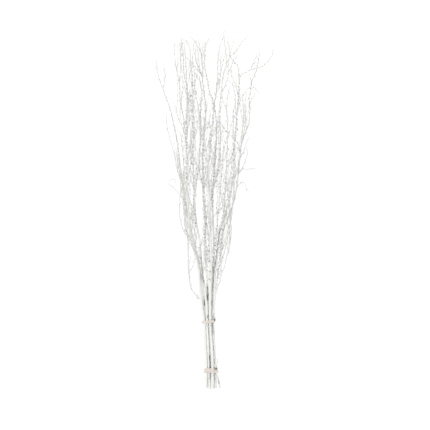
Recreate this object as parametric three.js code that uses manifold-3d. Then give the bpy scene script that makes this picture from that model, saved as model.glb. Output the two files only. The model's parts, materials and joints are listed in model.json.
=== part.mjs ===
// A bunch of cut birch branches, painted off-white and tied twice near the cut ends, lying on a surface.
//
// Millimetres. The branches run along +Y, from their cut ends to their tips, +X is to the right of someone
// who looks down on them, and +Z is up. The origin is on the surface, under the middle of the lower tie.

import * as THREE from "three";
import { mergeVertices } from "three/addons/utils/BufferGeometryUtils.js";
import Module from "manifold-3d";

// Ties: turns of twine that hug the stems, the upper one a little aslant
const TIE_LOWER_Y = 0;
const TIE_UPPER_Y = 137;
const TURNS_LOWER = 5;
const TURNS_UPPER = 3;
const SLANT_UPPER = 0.12;
const TWINE_RADIUS = 1.45;
const TURN_PITCH = 2.4;
const TURN_GAP = 0.6;
const TURN_SIDES = 6;
const TURN_CORNERS = 12;

// What lies on the surface is pressed to it by this much, and flat there
const PRESS = 0.4;

// Wood: tip radius of a stem and of a limb, and a shoot's root as a share of what it grows from
const STEM_TIP = 0.75;
const LIMB_TIP = 0.6;
const LIMB_SHARE = 0.62;
const LIMB_ROOT_LEAST = 0.95;
const TWIG_SHARE = 0.6;
const TWIG_ROOT_LEAST = 0.65;
const TWIG_ROOT_MOST = 1.2;
const TWIG_END = 0.5;
const STEM_SIDES = 7;
const LIMB_SIDES = 5;
const TWIG_SIDES = 3;
const BUD_SWELL = 1.9;

// Twigs: seeded, one to each stretch of a stem or limb above the bare lower stems
const SEED = 20417;
const TWIG_STRETCH = 56;
const BARE_BELOW_Y = 232;
const END_LEFT_BARE = 12;
const TWIG_SHORTEST = 70;
const TWIG_LONGEST = 190;
const TWIG_TRIES = 10;
const INTERNODE = 31;
const SPREAD_LEAST = 0.22;
const SPREAD_MOST = 0.58;
const TURN_UPWARD = 0.42;
const HOST_PULL = 0.6;
const ZIGZAG = 0.13;
const STEEPEST = 0.75;
const LOWEST_TWIG = 1.6;

// Room between shoots: samples this far apart along them keep this much more than their radii
const SAMPLE = 5;
const ROOM = 2.4;
const ROOT_STRETCH = 14;
const HOST_STRETCH = 45;

// The outline that the twigs stay in, as [height, left, right, top]
const FAN = [
  [230, -60, 30, 40],
  [300, -67, 42, 50],
  [364, -72, 58, 60],
  [400, -88, 58, 68],
  [480, -93, 66, 80],
  [560, -98, 79, 95],
  [600, -105, 82, 102],
  [640, -114, 89, 110],
  [670, -120, 99, 116],
  [714, -126, 110, 125],
  [750, -125, 115, 130],
  [790, -139, 120, 135],
  [860, -153, 162, 142],
  [880, -112, 165, 142],
  [930, -84, 103, 138],
  [946, -60, 60, 134],
];

// How many of the places for a twig have one, as [height, share left of PARTING, share right of it]
const PARTING = 8;
const THINNING = [
  [230, 1, 1],
  [560, 0.95, 0.9],
  [700, 0.7, 0.5],
  [800, 0.45, 0.25],
  [950, 0.35, 0.15],
];

// The gaps between the branches that no twig enters, each as [height, left, right]
const GAP_MIDDLE = [
  [765, 5, 5],
  [812, -7, 15],
  [868, -12, 17],
  [946, -10, 20],
];
const GAP_INNER = [
  [350, -43, -35],
  [450, -40, -25],
  [515, -42, -29],
  [540, -37, -33],
];
const GAP_CENTRE = [
  [380, 7, 17],
  [440, 7, 16],
  [500, 3, 15],
  [525, 7, 9],
];
const GAP_LEFT = [
  [690, -98, -92],
  [742, -112, -98],
  [800, -124, -94],
  [868, -126, -106],
  [946, -132, -106],
];
const GAP_OUTER = [
  [600, -89, -84],
  [644, -94, -80],
  [672, -97, -83],
  [690, -95, -88],
];
const GAP_LOOP = [
  [232, -58, -33],
  [285, -60, -39],
  [310, -56, -42],
  [330, -50, -46],
];
const GAP_EDGE = [
  [640, -111, -98],
  [700, -122, -109],
  [746, -127, -119],
  [790, -139, -134],
];
const GAPS = [GAP_MIDDLE, GAP_INNER, GAP_CENTRE, GAP_LEFT, GAP_OUTER, GAP_LOOP, GAP_EDGE];

// Each branch: its radius at the cut end, and at its tip where that isn't STEM_TIP, its stem's route, and its
// limbs, each with the height at which it leaves what it grows from. A point whose z is 0 lies on the
// surface.
const BRANCHES = [
  {
    name: "branch_left_outer",
    butt: 4.1,
    tip: 1.1,
    stem: [
      [-13, -50, 15.3], [-12.8, 0, 14.9], [-16.4, 80, 14], [-19, 135, 13.6], [-26, 182, 15.4], [-31, 232, 18],
      [-36, 285, 22], [-46, 328, 25], [-56, 364, 28], [-61, 410, 31], [-65, 476, 36], [-67, 560, 44],
      [-69, 644, 53], [-66, 728, 62], [-67, 784, 69], [-75, 826, 75], [-77, 874, 81], [-82, 924, 88],
    ],
    limbs: [
      {
        leaves: 352,
        route: [
          [-67, 374, 28], [-81, 402, 28], [-88, 434, 29], [-86, 480, 31], [-86, 526, 34], [-95, 566, 37],
          [-104, 606, 40], [-114, 646, 43], [-123, 682, 46], [-125, 714, 49],
        ],
        limbs: [
          {
            leaves: 490,
            route: [
              [-101, 507, 33], [-112, 516, 34], [-119, 523, 35], [-115, 530, 36], [-108, 534, 37],
              [-100, 532, 37], [-100, 519, 36],
            ],
          },
        ],
      },
      {
        leaves: 628,
        route: [[-74, 658, 51], [-80, 680, 50], [-87, 694, 49], [-97, 721, 48], [-101, 742, 48]],
      },
      {
        leaves: 645,
        route: [
          [-76, 703, 60], [-83, 736, 65], [-88, 772, 70], [-89, 806, 75], [-95, 838, 80], [-100, 868, 84],
          [-100, 910, 90],
        ],
      },
      {
        leaves: 690,
        route: [
          [-64.4, 714, 63.5], [-63, 749, 68], [-64.6, 772, 72.6], [-68, 811, 78], [-70.5, 855, 83],
          [-73.5, 900, 88], [-76, 922, 91],
        ],
      },
    ],
  },
  {
    name: "branch_left_back",
    butt: 4,
    stem: [
      [-11.8, -46, 6.8], [-11.8, 0, 6.7], [-15.2, 80, 6.5], [-17.5, 135, 6.4], [-19.4, 186, 6.4],
      [-24.6, 236, 6], [-34, 300, 5.2], [-46, 350, 4], [-60, 410, 0], [-72, 470, 0], [-81, 530, 0],
      [-88, 580, 3.4],
      [-92, 620, 5], [-99, 662, 8], [-108, 704, 12], [-117, 740, 16], [-129, 770, 21], [-135, 788, 24],
      [-144, 812, 28], [-150, 840, 33], [-152, 862, 37],
    ],
    limbs: [
      { leaves: -29, tip: 1.7, route: [[-17.9, -24, 7.6]] },
      { leaves: 86, tip: 1.3, route: [[-21.4, 93, 7.4]] },
      {
        leaves: 188,
        route: [
          [-42, 209, 8], [-53, 224, 9.5], [-60, 252, 11], [-63, 300, 12], [-64, 340, 12], [-65, 370, 12],
          [-71, 402, 13], [-74, 446, 15], [-75, 500, 19], [-76, 560, 24], [-80, 620, 30], [-85, 664, 36],
        ],
        limbs: [{ leaves: 272, route: [[-52, 288, 13], [-46, 304, 13], [-44, 340, 14], [-40, 384, 17]] }],
      },
      { leaves: 786, route: [[-131, 802, 27], [-128, 820, 29], [-129, 838, 33], [-133, 854, 36]] },
    ],
  },
  {
    name: "branch_left_inner",
    butt: 3.7,
    stem: [
      [-4.4, -51, 15.2], [-4.8, 0, 15], [-7.5, 56, 13.9], [-10, 104, 13.2], [-10.8, 135, 13.3],
      [-12, 178, 15], [-17, 224, 19], [-24, 272, 24], [-28, 316, 29], [-32, 364, 35], [-40, 406, 39],
      [-45, 448, 43], [-47, 504, 49], [-49, 560, 55], [-50, 616, 61], [-49, 656, 65], [-52, 700, 71],
      [-53, 756, 79], [-51, 798, 84], [-54, 840, 91], [-57, 868, 95], [-60, 900, 101], [-71, 919, 106],
    ],
    limbs: [
      {
        leaves: 470,
        route: [
          [-42, 510, 52], [-34, 570, 60], [-30, 640, 68], [-31, 690, 75], [-35, 735, 81], [-42, 765, 86],
          [-45, 796, 92], [-47, 832, 98], [-52, 872, 106],
        ],
        limbs: [
          {
            leaves: 698,
            route: [[-28, 726, 82], [-27, 750, 88], [-29, 800, 100], [-37, 816, 104], [-49, 834, 110]],
          },
        ],
      },
    ],
  },
  {
    name: "branch_middle_left",
    butt: 4,
    tip: 1,
    stem: [
      [-3.6, -49, 6.8], [-3.6, 0, 6.7], [-7, 80, 6.5], [-9.6, 135, 6.4], [-9.2, 182, 7.4], [-10, 232, 9.2],
      [-13, 282, 11.5], [-16, 330, 14], [-17, 380, 17], [-18, 424, 20], [-20, 476, 23], [-22, 540, 27],
      [-23, 600, 31], [-21, 644, 34], [-17, 690, 38], [-14, 728, 42], [-19, 770, 47], [-23, 806, 52],
      [-23, 842, 56], [-27, 880, 61], [-34, 918, 66],
    ],
    limbs: [
      {
        leaves: 498,
        route: [[-28, 536, 28], [-33, 568, 30], [-32, 612, 33], [-28, 660, 36], [-29, 704, 38]],
      },
      { leaves: 800, route: [[-28, 826, 53], [-42, 843, 54], [-57, 862, 55], [-70, 874, 56]] },
      { leaves: 812, route: [[-33, 840, 60], [-42, 866, 65], [-43, 882, 68], [-42, 899, 71]] },
      { leaves: 868, route: [[-24, 892, 64], [-22, 921, 69]] },
      { leaves: 888, route: [[-42, 912, 66], [-56, 931, 69]] },
    ],
  },
  {
    name: "branch_middle",
    butt: 4.5,
    tip: 1.3,
    stem: [
      [4.2, -52, 15.4], [4.2, 0, 15.2], [3, 56, 14.8], [-0.8, 110, 14.3], [-1.8, 135, 14.2], [-2.2, 178, 17],
      [-1.5, 230, 22], [0, 280, 28], [0, 330, 34], [-2, 380, 40], [-4, 430, 46], [-4, 476, 52],
      [-7, 540, 60], [-6, 600, 68], [-1, 650, 75], [4, 690, 80], [7, 728, 85], [6, 750, 88], [-3, 774, 92],
      [-10, 806, 97], [-17, 845, 104], [-18, 870, 108], [-16, 896, 113], [-7, 921, 118],
    ],
    limbs: [
      { leaves: 246, route: [[-5, 254, 29], [-12, 258, 31]] },
      { leaves: 266, route: [[-4, 276, 33], [-11, 279, 36]] },
      {
        leaves: 292,
        route: [
          [-10, 319, 35], [-14, 345, 40], [-17, 375, 45], [-18, 403, 49], [-20, 450, 56], [-19, 500, 63],
          [-22, 560, 72],
        ],
      },
      {
        leaves: 300,
        route: [
          [9, 332, 37], [14, 380, 43], [19, 430, 49], [23, 476, 55], [28, 530, 62], [33, 584, 69],
          [34, 630, 75],
        ],
      },
    ],
  },
  {
    name: "branch_middle_back",
    butt: 3.9,
    stem: [
      [4.6, -50, 6.7], [4.6, 0, 6.6], [0.8, 80, 6.4], [-1.6, 135, 6.3], [1.2, 178, 7], [4, 230, 9.2],
      [7, 280, 12.5], [8, 336, 15.5], [7, 390, 19], [5, 440, 22.5], [4, 476, 25], [8, 540, 30],
      [12, 600, 35], [15, 650, 40], [15, 690, 44], [11, 725, 47], [10, 748, 49], [14, 775, 52],
      [17, 800, 55], [19, 836, 59], [20, 874, 64], [26, 908, 68], [35, 930, 71], [36.5, 946, 73],
    ],
    limbs: [
      {
        leaves: 500,
        route: [
          [15, 540, 27], [23, 580, 28], [26, 630, 31], [25, 690, 35], [25, 742, 40], [30, 784, 44],
          [33, 820, 48], [44, 866, 53], [40, 893, 57], [37, 926, 60],
        ],
        limbs: [
          { leaves: 774, route: [[38, 792, 44], [44, 807, 45], [48, 832, 46], [48, 854, 45]] },
          { leaves: 846, route: [[54, 876, 57], [70, 890, 59], [86, 915, 62], [101, 930, 64]] },
        ],
      },
      { leaves: 790, route: [[25, 818, 60], [27, 860, 69], [28, 882, 74]] },
    ],
  },
  {
    name: "branch_right_inner",
    butt: 3.6,
    stem: [
      [13.2, -50, 6.6], [12.2, 0, 6.4], [9.4, 60, 6.2], [7.2, 104, 6], [6.2, 135, 5.9], [8.2, 182, 8],
      [10, 230, 12], [12, 280, 16], [16, 325, 20], [22, 370, 25], [32, 412, 30], [43, 448, 35], [54, 490, 40],
      [62, 540, 46], [66, 590, 51], [66, 640, 57], [70, 686, 62], [74, 730, 68], [77, 776, 74], [78, 820, 80],
      [73, 850, 84], [62, 862, 86], [54, 876, 88], [51, 893, 91], [48, 912, 94],
    ],
    limbs: [
      {
        leaves: 408,
        route: [
          [36, 452, 40], [40, 500, 47], [43, 560, 54], [45, 620, 60], [46, 680, 66], [44, 735, 72],
          [47, 770, 76], [52, 788, 79],
        ],
      },
      { leaves: 702, route: [[68, 738, 73], [66, 774, 79], [60, 796, 84], [50, 806, 88]] },
      { leaves: 736, route: [[84, 757, 71], [92, 770, 73], [100, 782, 75], [112, 791, 78]] },
      {
        leaves: 764,
        route: [[68, 796, 76], [60, 815, 77], [55, 830, 80], [57, 846, 88], [62, 860, 96], [73, 876, 101]],
      },
      {
        leaves: 810,
        route: [
          [87, 827, 81], [98, 831, 82], [112, 839, 83], [124, 841, 84], [135, 844, 84], [151, 854, 86],
          [163, 867, 88], [170, 880, 90], [173, 896, 92],
        ],
        limbs: [{ leaves: 838, route: [[118, 856, 86], [127, 877, 89]] }],
      },
    ],
  },
  {
    name: "branch_right_outer",
    butt: 2.3,
    stem: [
      [24.4, -50, 15], [20.4, -26, 14], [14.3, 0, 12.3], [10.6, 56, 12.6], [7.2, 100, 12.6], [5, 135, 12.4],
      [9, 178, 15.2], [14, 222, 15.6], [19, 268, 14.4], [24, 308, 12], [29, 350, 9.5], [35, 390, 7],
      [48, 425, 4.6], [59, 456, 0], [68, 490, 0], [74, 525, 0], [77, 562, 3.4], [81, 600, 5], [86, 634, 9],
      [95, 662, 13], [106, 692, 17], [109, 722, 20], [106, 755, 24], [110, 782, 28], [115, 809, 32],
      [123, 827, 36], [128, 845, 39], [132, 866, 43], [136, 888, 47],
    ],
    limbs: [
      {
        leaves: 214,
        route: [[19, 235, 20], [26, 250, 22], [28, 276, 24], [28, 304, 27], [30, 332, 31], [32, 356, 35]],
        limbs: [
          {
            leaves: 268,
            route: [
              [35, 282, 25], [39, 298, 26], [43, 316, 27], [50, 334, 29], [54, 358, 31], [57, 386, 33],
              [55, 410, 36], [52, 440, 42],
            ],
          },
        ],
      },
      { leaves: 270, route: [[25, 277, 16], [31, 279, 17]] },
      { leaves: 510, route: [[84, 524, 4], [90, 526, 5], [96, 515, 6], [101, 504, 6.5], [107, 499, 7]] },
      { leaves: 546, route: [[88, 566, 10], [97, 588, 14], [102, 608, 19], [99, 623, 23]] },
      { leaves: 552, route: [[90, 563, 4], [99, 562, 4.5], [114, 564, 5.5], [129, 563, 6.5]] },
      { leaves: 592, route: [[89, 608, 5], [95, 624, 6], [101, 641, 7], [109, 653, 8]] },
      { leaves: 606, route: [[76, 632, 10], [62, 650, 14], [45, 666, 18], [34, 680, 21], [22, 692, 24]] },
      { leaves: 636, route: [[91, 664, 16], [96, 690, 22], [97, 714, 28], [98, 738, 33]] },
      { leaves: 740, route: [[113, 757, 21], [123, 773, 21]] },
      { leaves: 784, route: [[120, 790, 26], [127, 784, 25], [134, 774, 24]] },
      { leaves: 790, route: [[112, 806, 36], [107, 827, 42]] },
    ],
  },
];

// Colours of the paint and the twine
const PAINT = new THREE.MeshStandardMaterial({ color: 0xdcdcd6, roughness: 0.85, metalness: 0 });
const TWINE = new THREE.MeshStandardMaterial({ color: 0xd9c9b6, roughness: 0.9, metalness: 0 });

const UP = new THREE.Vector3(0, 0, 1);
const GROWTH = new THREE.Vector3(0, 1, 0);

const wasm = await Module();
wasm.setup();

// Solids

function toSolid(geometry) {
  geometry.deleteAttribute("normal");
  geometry.deleteAttribute("uv");
  const merged = mergeVertices(geometry, 1e-4);
  return new wasm.Manifold(
    new wasm.Mesh({
      numProp: 3,
      vertProperties: merged.attributes.position.array,
      triVerts: new Uint32Array(merged.index.array),
    })
  );
}

function toGeometry(solid) {
  const mesh = solid.getMesh();
  const geometry = new THREE.BufferGeometry();
  geometry.setAttribute("position", new THREE.BufferAttribute(mesh.vertProperties, 3));
  geometry.setIndex(new THREE.BufferAttribute(mesh.triVerts, 1));
  geometry.computeVertexNormals();
  return geometry;
}

function fuse(solids) {
  return solids.reduce((whole, piece) => whole.add(piece));
}

// Takes away what would lie below the surface, which leaves a small flat spot there
function restOnSurface(solid) {
  const block = new THREE.BoxGeometry(2000, 4000, 20);
  block.translate(0, 0, -10);
  return solid.subtract(toSolid(block));
}

// The direction of a line of points at one of them, and two directions square to it
function frameAt(points, index) {
  const before = points[Math.max(index - 1, 0)];
  const after = points[Math.min(index + 1, points.length - 1)];
  const ahead = after.clone().sub(before).normalize();
  const side = ahead.clone().cross(UP).normalize();
  const lift = side.clone().cross(ahead);
  return { ahead, side, lift };
}

// A round shoot: a cylinder bent along its points, and pointed where the last radius is 0.
// With swell above 1 a bud stands out at each ring, on the next side each time.
function shaft({ points, radii }, sides, swell = 1) {
  const steps = points.length - 1;
  const frames = points.map((_, index) => frameAt(points, index));
  const geometry = new THREE.CylinderGeometry(radii[steps] > 0 ? 1 : 0, 1, 1, sides, steps);
  const position = geometry.attributes.position;
  for (let i = 0; i < position.count; i++) {
    const ring = Math.round((position.getY(i) + 0.5) * steps);
    const angle = Math.atan2(position.getX(i), position.getZ(i));
    const corner = (Math.round((angle / (2 * Math.PI)) * sides) + sides) % sides;
    const onAxis = Math.hypot(position.getX(i), position.getZ(i)) < 1e-6;
    const isBud = ring > 0 && ring < steps && corner === ring % sides;
    const reach = onAxis ? 0 : radii[ring] * (isBud ? swell : 1);
    const place = points[ring].clone();
    place.addScaledVector(frames[ring].side, Math.sin(angle) * reach);
    place.addScaledVector(frames[ring].lift, Math.cos(angle) * reach);
    position.setXYZ(i, place.x, place.y, place.z);
  }
  return toSolid(geometry);
}

// Shoots: a line of points with a radius at each, thinning evenly from root to tip

function shoot(points, rootRadius, tipRadius) {
  const lengths = [0];
  for (let i = 1; i < points.length; i++) {
    lengths.push(lengths[i - 1] + points[i].distanceTo(points[i - 1]));
  }
  const whole = lengths[lengths.length - 1];
  const radii = lengths.map((length) => rootRadius + (tipRadius - rootRadius) * (length / whole));
  points.forEach((point, i) => {
    point.z = Math.max(point.z, radii[i] - PRESS);
  });
  return { points, radii, lengths, whole };
}

// The place on a shoot at a distance from its root
function along(host, distance) {
  let i = 1;
  while (i < host.points.length - 1 && host.lengths[i] < distance) {
    i++;
  }
  const share = (distance - host.lengths[i - 1]) / (host.lengths[i] - host.lengths[i - 1]);
  const point = host.points[i - 1].clone().lerp(host.points[i], share);
  const radius = host.radii[i - 1] + (host.radii[i] - host.radii[i - 1]) * share;
  const ahead = host.points[i].clone().sub(host.points[i - 1]).normalize();
  return { point, radius, ahead };
}

// How far along a shoot it first comes to a height
function distanceAtHeight(host, height) {
  let i = 1;
  while (i < host.points.length - 1 && host.points[i].y < height) {
    i++;
  }
  const rise = host.points[i].y - host.points[i - 1].y;
  const share = (height - host.points[i - 1].y) / rise;
  return host.lengths[i - 1] + share * (host.lengths[i] - host.lengths[i - 1]);
}

// The stem of a branch and its limbs, each limb after what it grows from
function framework(branch) {
  const toPoint = ([x, y, z]) => new THREE.Vector3(x, y, z);
  const stem = shoot(branch.stem.map(toPoint), branch.butt, branch.tip ?? STEM_TIP);
  const limbs = [];
  const grow = (host, list) => {
    for (const { leaves, route, tip = LIMB_TIP, limbs: own = [] } of list) {
      const root = along(host, distanceAtHeight(host, leaves));
      const radius = Math.max(root.radius * LIMB_SHARE, LIMB_ROOT_LEAST);
      const limb = shoot([root.point, ...route.map(toPoint)], radius, tip);
      limbs.push(limb);
      grow(limb, own);
    }
  };
  grow(stem, branch.limbs);
  return [stem, ...limbs];
}

// Seeded draws between 0 and 1
let drawState = SEED;
function draw() {
  drawState = (drawState * 1664525 + 1013904223) % 4294967296;
  return drawState / 4294967296;
}

// What a list of rows gives at a height, or nothing outside their heights
function rowAt(rows, height) {
  const row = rows.findIndex(([rowHeight]) => rowHeight >= height);
  if (row < 1) {
    return null;
  }
  const [lowHeight, ...low] = rows[row - 1];
  const [highHeight, ...high] = rows[row];
  const share = (height - lowHeight) / (highHeight - lowHeight);
  return low.map((value, i) => value + (high[i] - value) * share);
}

function inFan({ x, y, z }) {
  const fan = rowAt(FAN, y);
  const isBetween = (row) => row !== null && x > row[0] && x < row[1];
  const inGap = GAPS.some((gap) => isBetween(rowAt(gap, y)));
  return !inGap && isBetween(fan) && z > LOWEST_TWIG && z < fan[2];
}

// Marks along every shoot, to keep the twigs clear of them
const marks = [];
function mark(owner, branchIndex) {
  const count = Math.ceil(owner.whole / SAMPLE);
  for (let i = 0; i <= count; i++) {
    const { point, radius } = along(owner, (owner.whole * i) / count);
    marks.push({ point, radius, owner, branchIndex });
  }
}

function hasRoom(twig, host, branchIndex) {
  const root = twig.points[0];
  const count = Math.ceil(twig.whole / SAMPLE);
  for (let i = 0; i <= count; i++) {
    const distance = (twig.whole * i) / count;
    const { point, radius } = along(twig, distance);
    for (const other of marks) {
      const own = other.branchIndex === branchIndex;
      const nearRoot = own && distance < ROOT_STRETCH;
      const nearHost = other.owner === host && other.point.distanceTo(root) < HOST_STRETCH;
      const clear = other.point.distanceTo(point) > other.radius + radius + ROOM;
      if (!nearRoot && !nearHost && !clear) {
        return false;
      }
    }
  }
  return true;
}

// A twig that leaves its host at a distance along it, then turns upward in small zigzags
function twigFrom(host, distance) {
  const { point, radius, ahead } = along(host, distance);
  const side = ahead.clone().cross(UP).normalize();
  const lift = side.clone().cross(ahead);
  const azimuth = draw() * 2 * Math.PI;
  const spread = SPREAD_LEAST + draw() * (SPREAD_MOST - SPREAD_LEAST);
  const length = TWIG_SHORTEST + draw() * (TWIG_LONGEST - TWIG_SHORTEST);
  const outward = side.multiplyScalar(Math.cos(azimuth)).addScaledVector(lift, Math.sin(azimuth));
  const heading = ahead.clone().multiplyScalar(Math.cos(spread)).addScaledVector(outward, Math.sin(spread));
  const upward = ahead.clone().multiplyScalar(HOST_PULL).add(GROWTH).normalize();
  const sway = outward.clone().cross(ahead);
  const steps = Math.round(length / INTERNODE);
  const points = [point];
  for (let step = 1; step <= steps; step++) {
    points.push(points[step - 1].clone().addScaledVector(heading, length / steps));
    heading.addScaledVector(upward, TURN_UPWARD);
    heading.addScaledVector(sway, step % 2 ? ZIGZAG : -ZIGZAG);
    heading.normalize();
  }
  const rootRadius = Math.min(Math.max(radius * TWIG_SHARE, TWIG_ROOT_LEAST), TWIG_ROOT_MOST);
  const twig = shoot(points, rootRadius, Math.min(TWIG_END, rootRadius));
  twig.radii[steps] = 0;
  return twig;
}

function isUsable(twig, host, branchIndex) {
  const shallow = twig.points.every((_, i) => Math.abs(frameAt(twig.points, i).ahead.z) < STEEPEST);
  return shallow && twig.points.slice(1).every(inFan) && hasRoom(twig, host, branchIndex);
}

function growTwigs(host, branchIndex) {
  const twigs = [];
  const start = host.points[0].y < BARE_BELOW_Y ? distanceAtHeight(host, BARE_BELOW_Y) : 0;
  const count = Math.floor((host.whole - start - END_LEFT_BARE) / TWIG_STRETCH + 0.5);
  for (let i = 0; i < count; i++) {
    const { point } = along(host, Math.min(start + (i + 0.5) * TWIG_STRETCH, host.whole));
    const [left, right] = rowAt(THINNING, point.y);
    if (draw() > (point.x < PARTING ? left : right)) {
      continue;
    }
    for (let tries = 0; tries < TWIG_TRIES; tries++) {
      const distance = start + (i + 0.3 + 0.6 * draw()) * TWIG_STRETCH;
      if (distance > host.whole - END_LEFT_BARE) {
        continue;
      }
      const twig = twigFrom(host, distance);
      if (isUsable(twig, host, branchIndex)) {
        twigs.push(twig);
        mark(twig, branchIndex);
        break;
      }
    }
  }
  return twigs;
}

// Ties

// Where the stems stand at a height, as circles across them. A slant raises the height to the right.
function sections(frameworks, height, slant) {
  return frameworks.map(([stem]) => {
    const level = along(stem, distanceAtHeight(stem, height)).point;
    const { point, radius } = along(stem, distanceAtHeight(stem, height + slant * level.x));
    return { x: point.x, z: point.z, radius };
  });
}

// The tight outline round circles that are grown by a margin
function hug(circles, margin) {
  const dots = circles.flatMap(({ x, z, radius }) =>
    Array.from({ length: TURN_CORNERS }, (_, i) => {
      const angle = (2 * Math.PI * i) / TURN_CORNERS;
      const reach = radius + margin;
      return new THREE.Vector2(x + reach * Math.cos(angle), z + reach * Math.sin(angle));
    })
  );
  dots.sort((a, b) => a.x - b.x || a.y - b.y);
  const half = (list) => {
    const chain = [];
    for (const dot of list) {
      while (chain.length > 1 && turn(chain[chain.length - 2], chain[chain.length - 1], dot) <= 0) {
        chain.pop();
      }
      chain.push(dot);
    }
    return chain.slice(0, -1);
  };
  return [...half(dots), ...half(dots.reverse())];
}

function turn(a, b, c) {
  return (b.x - a.x) * (c.y - a.y) - (b.y - a.y) * (c.x - a.x);
}

// One turn of twine: a torus laid along the outline, flat where it lies on the surface
function twineTurn(circles, height, slant) {
  const outline = hug(circles, TURN_GAP + TWINE_RADIUS);
  const count = outline.length;
  const geometry = new THREE.TorusGeometry(10, 1, TURN_SIDES, count);
  const position = geometry.attributes.position;
  for (let i = 0; i < position.count; i++) {
    const station = i % (count + 1) % count;
    const angle = (2 * Math.PI * Math.floor(i / (count + 1))) / TURN_SIDES;
    const before = outline[(station + count - 1) % count];
    const after = outline[(station + 1) % count];
    const outward = new THREE.Vector2(after.y - before.y, before.x - after.x).normalize();
    const reach = Math.cos(angle) * TWINE_RADIUS;
    const x = outline[station].x + outward.x * reach;
    const middleZ = Math.max(outline[station].y, TWINE_RADIUS - PRESS);
    const z = middleZ + outward.y * reach;
    position.setXYZ(i, x, height + slant * x - Math.sin(angle) * TWINE_RADIUS, z);
  }
  return toSolid(geometry);
}

// A knot, and a cord end or loop of even thickness
function knot([x, y, z], [width, length, thickness]) {
  const geometry = new THREE.IcosahedronGeometry(1, 1);
  geometry.scale(width / 2, length / 2, thickness / 2);
  geometry.translate(x, y, z);
  return toSolid(geometry);
}

function cordEnd(route) {
  const points = route.map(([x, y, z]) => new THREE.Vector3(x, y, z));
  const radii = points.map(() => TWINE_RADIUS * 0.85);
  return shaft({ points, radii }, 5);
}

function tie(frameworks, height, count, slant, extras) {
  const heights = Array.from({ length: count }, (_, i) => height + (i - (count - 1) / 2) * TURN_PITCH);
  const turns = heights.map((each) => twineTurn(sections(frameworks, each, slant), each, slant));
  return restOnSurface(fuse([...turns, ...extras]));
}

// The object

const frameworks = BRANCHES.map(framework);
frameworks.forEach((shoots, branchIndex) => shoots.forEach((one) => mark(one, branchIndex)));
const twigs = frameworks.map((shoots, branchIndex) => shoots.flatMap((host) => growTwigs(host, branchIndex)));

function branchSolid(branchIndex) {
  const [stem, ...limbs] = frameworks[branchIndex];
  return restOnSurface(
    fuse([
      shaft(stem, STEM_SIDES),
      ...limbs.map((limb) => shaft(limb, LIMB_SIDES)),
      ...twigs[branchIndex].map((twig) => shaft(twig, TWIG_SIDES, BUD_SWELL)),
    ])
  );
}

const group = new THREE.Group();
function addPiece(name, solid, material) {
  const mesh = new THREE.Mesh(toGeometry(solid), material);
  mesh.name = name;
  group.add(mesh);
}

BRANCHES.forEach(({ name }, branchIndex) => addPiece(name, branchSolid(branchIndex), PAINT));

addPiece(
  "tie_lower",
  tie(frameworks, TIE_LOWER_Y, TURNS_LOWER, 0, [
    knot([14.2, 5.4, 17.8], [6.4, 6, 4.8]),
    cordEnd([
      [13, 5, 18.6], [9.5, 12, 21.6], [6.5, 24, 22.4], [6.6, 34, 22.2], [9.5, 36, 22], [11, 27, 21.6],
      [12, 14, 20.6], [13.6, 5, 18.4],
    ]),
    cordEnd([
      [14, 5, 18.2], [14, 14, 20.2], [13.4, 24, 21], [15, 31, 20.6], [17.6, 29, 19.6], [17.6, 19, 18.8],
      [16, 10, 18.4], [14.6, 5, 17.8],
    ]),
    cordEnd([[5.6, -1.6, 21.6], [6.2, -9, 21.9], [5.2, -16, 21.6]]),
    cordEnd([[-19, -1, 11], [-19.8, -5, 9.8], [-19.2, -10, 8.4]]),
  ]),
  TWINE
);
addPiece(
  "tie_upper",
  tie(frameworks, TIE_UPPER_Y, TURNS_UPPER, SLANT_UPPER, [
    knot([10.6, 140.4, 12.6], [5, 5.6, 5]),
    cordEnd([[-18, 134, 19.4], [-13.6, 126, 19.8], [-8.4, 121, 19.4], [-3.6, 125, 20.4], [-1.4, 134, 20.6]]),
    cordEnd([[10.4, 141, 12.8], [11, 146, 14], [10, 151, 15.4]]),
  ]),
  TWINE
);

export default group;
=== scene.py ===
"""A tied bunch of painted birch branches, lying on a pale floor and seen from straight above.

Eight grown branches, each with its limbs, twigs, fine side twigs and buds, held by two windings of twine.
Blender's side of this script is in metres, in the part's own frame: +Y from the cut ends to the tips, +X to
the right, +Z up from the surface, and the origin under the middle of the lower tie. The growth rules and the
routes are in millimetres, and MM turns them into metres where a mesh is made.
"""

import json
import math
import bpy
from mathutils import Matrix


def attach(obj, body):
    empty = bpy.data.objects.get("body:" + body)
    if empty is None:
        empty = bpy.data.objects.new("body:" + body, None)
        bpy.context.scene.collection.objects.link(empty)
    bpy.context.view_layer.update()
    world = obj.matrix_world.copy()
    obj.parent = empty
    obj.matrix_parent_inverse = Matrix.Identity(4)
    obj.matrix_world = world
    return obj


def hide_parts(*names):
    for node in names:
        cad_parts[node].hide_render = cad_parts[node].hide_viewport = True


bl_info = {
    "name": "Painted birch bunch",
    "version": (1, 0, 0),
    "blender": (4, 5, 0),
    "location": "View3D > Sidebar > Birch bunch",
    "description": "Dresses a tied bunch of painted birch branches with bark, buds, fine twigs and twine",
    "category": "Object",
}

from collections import namedtuple

import bpy
import numpy as np
from mathutils import Matrix, Vector

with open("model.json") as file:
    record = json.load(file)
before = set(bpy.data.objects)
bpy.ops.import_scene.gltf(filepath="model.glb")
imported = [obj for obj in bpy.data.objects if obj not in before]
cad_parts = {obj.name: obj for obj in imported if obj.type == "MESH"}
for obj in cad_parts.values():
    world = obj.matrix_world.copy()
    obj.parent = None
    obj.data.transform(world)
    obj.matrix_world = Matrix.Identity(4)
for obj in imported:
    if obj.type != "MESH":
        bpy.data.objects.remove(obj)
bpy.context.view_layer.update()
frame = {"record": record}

MM = 0.001
UP = np.array([0.0, 0.0, 1.0])
GROWTH = np.array([0.0, 1.0, 0.0])
GOLDEN_ANGLE = math.radians(137.5)
WHITE = (1.0, 1.0, 1.0)

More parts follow.
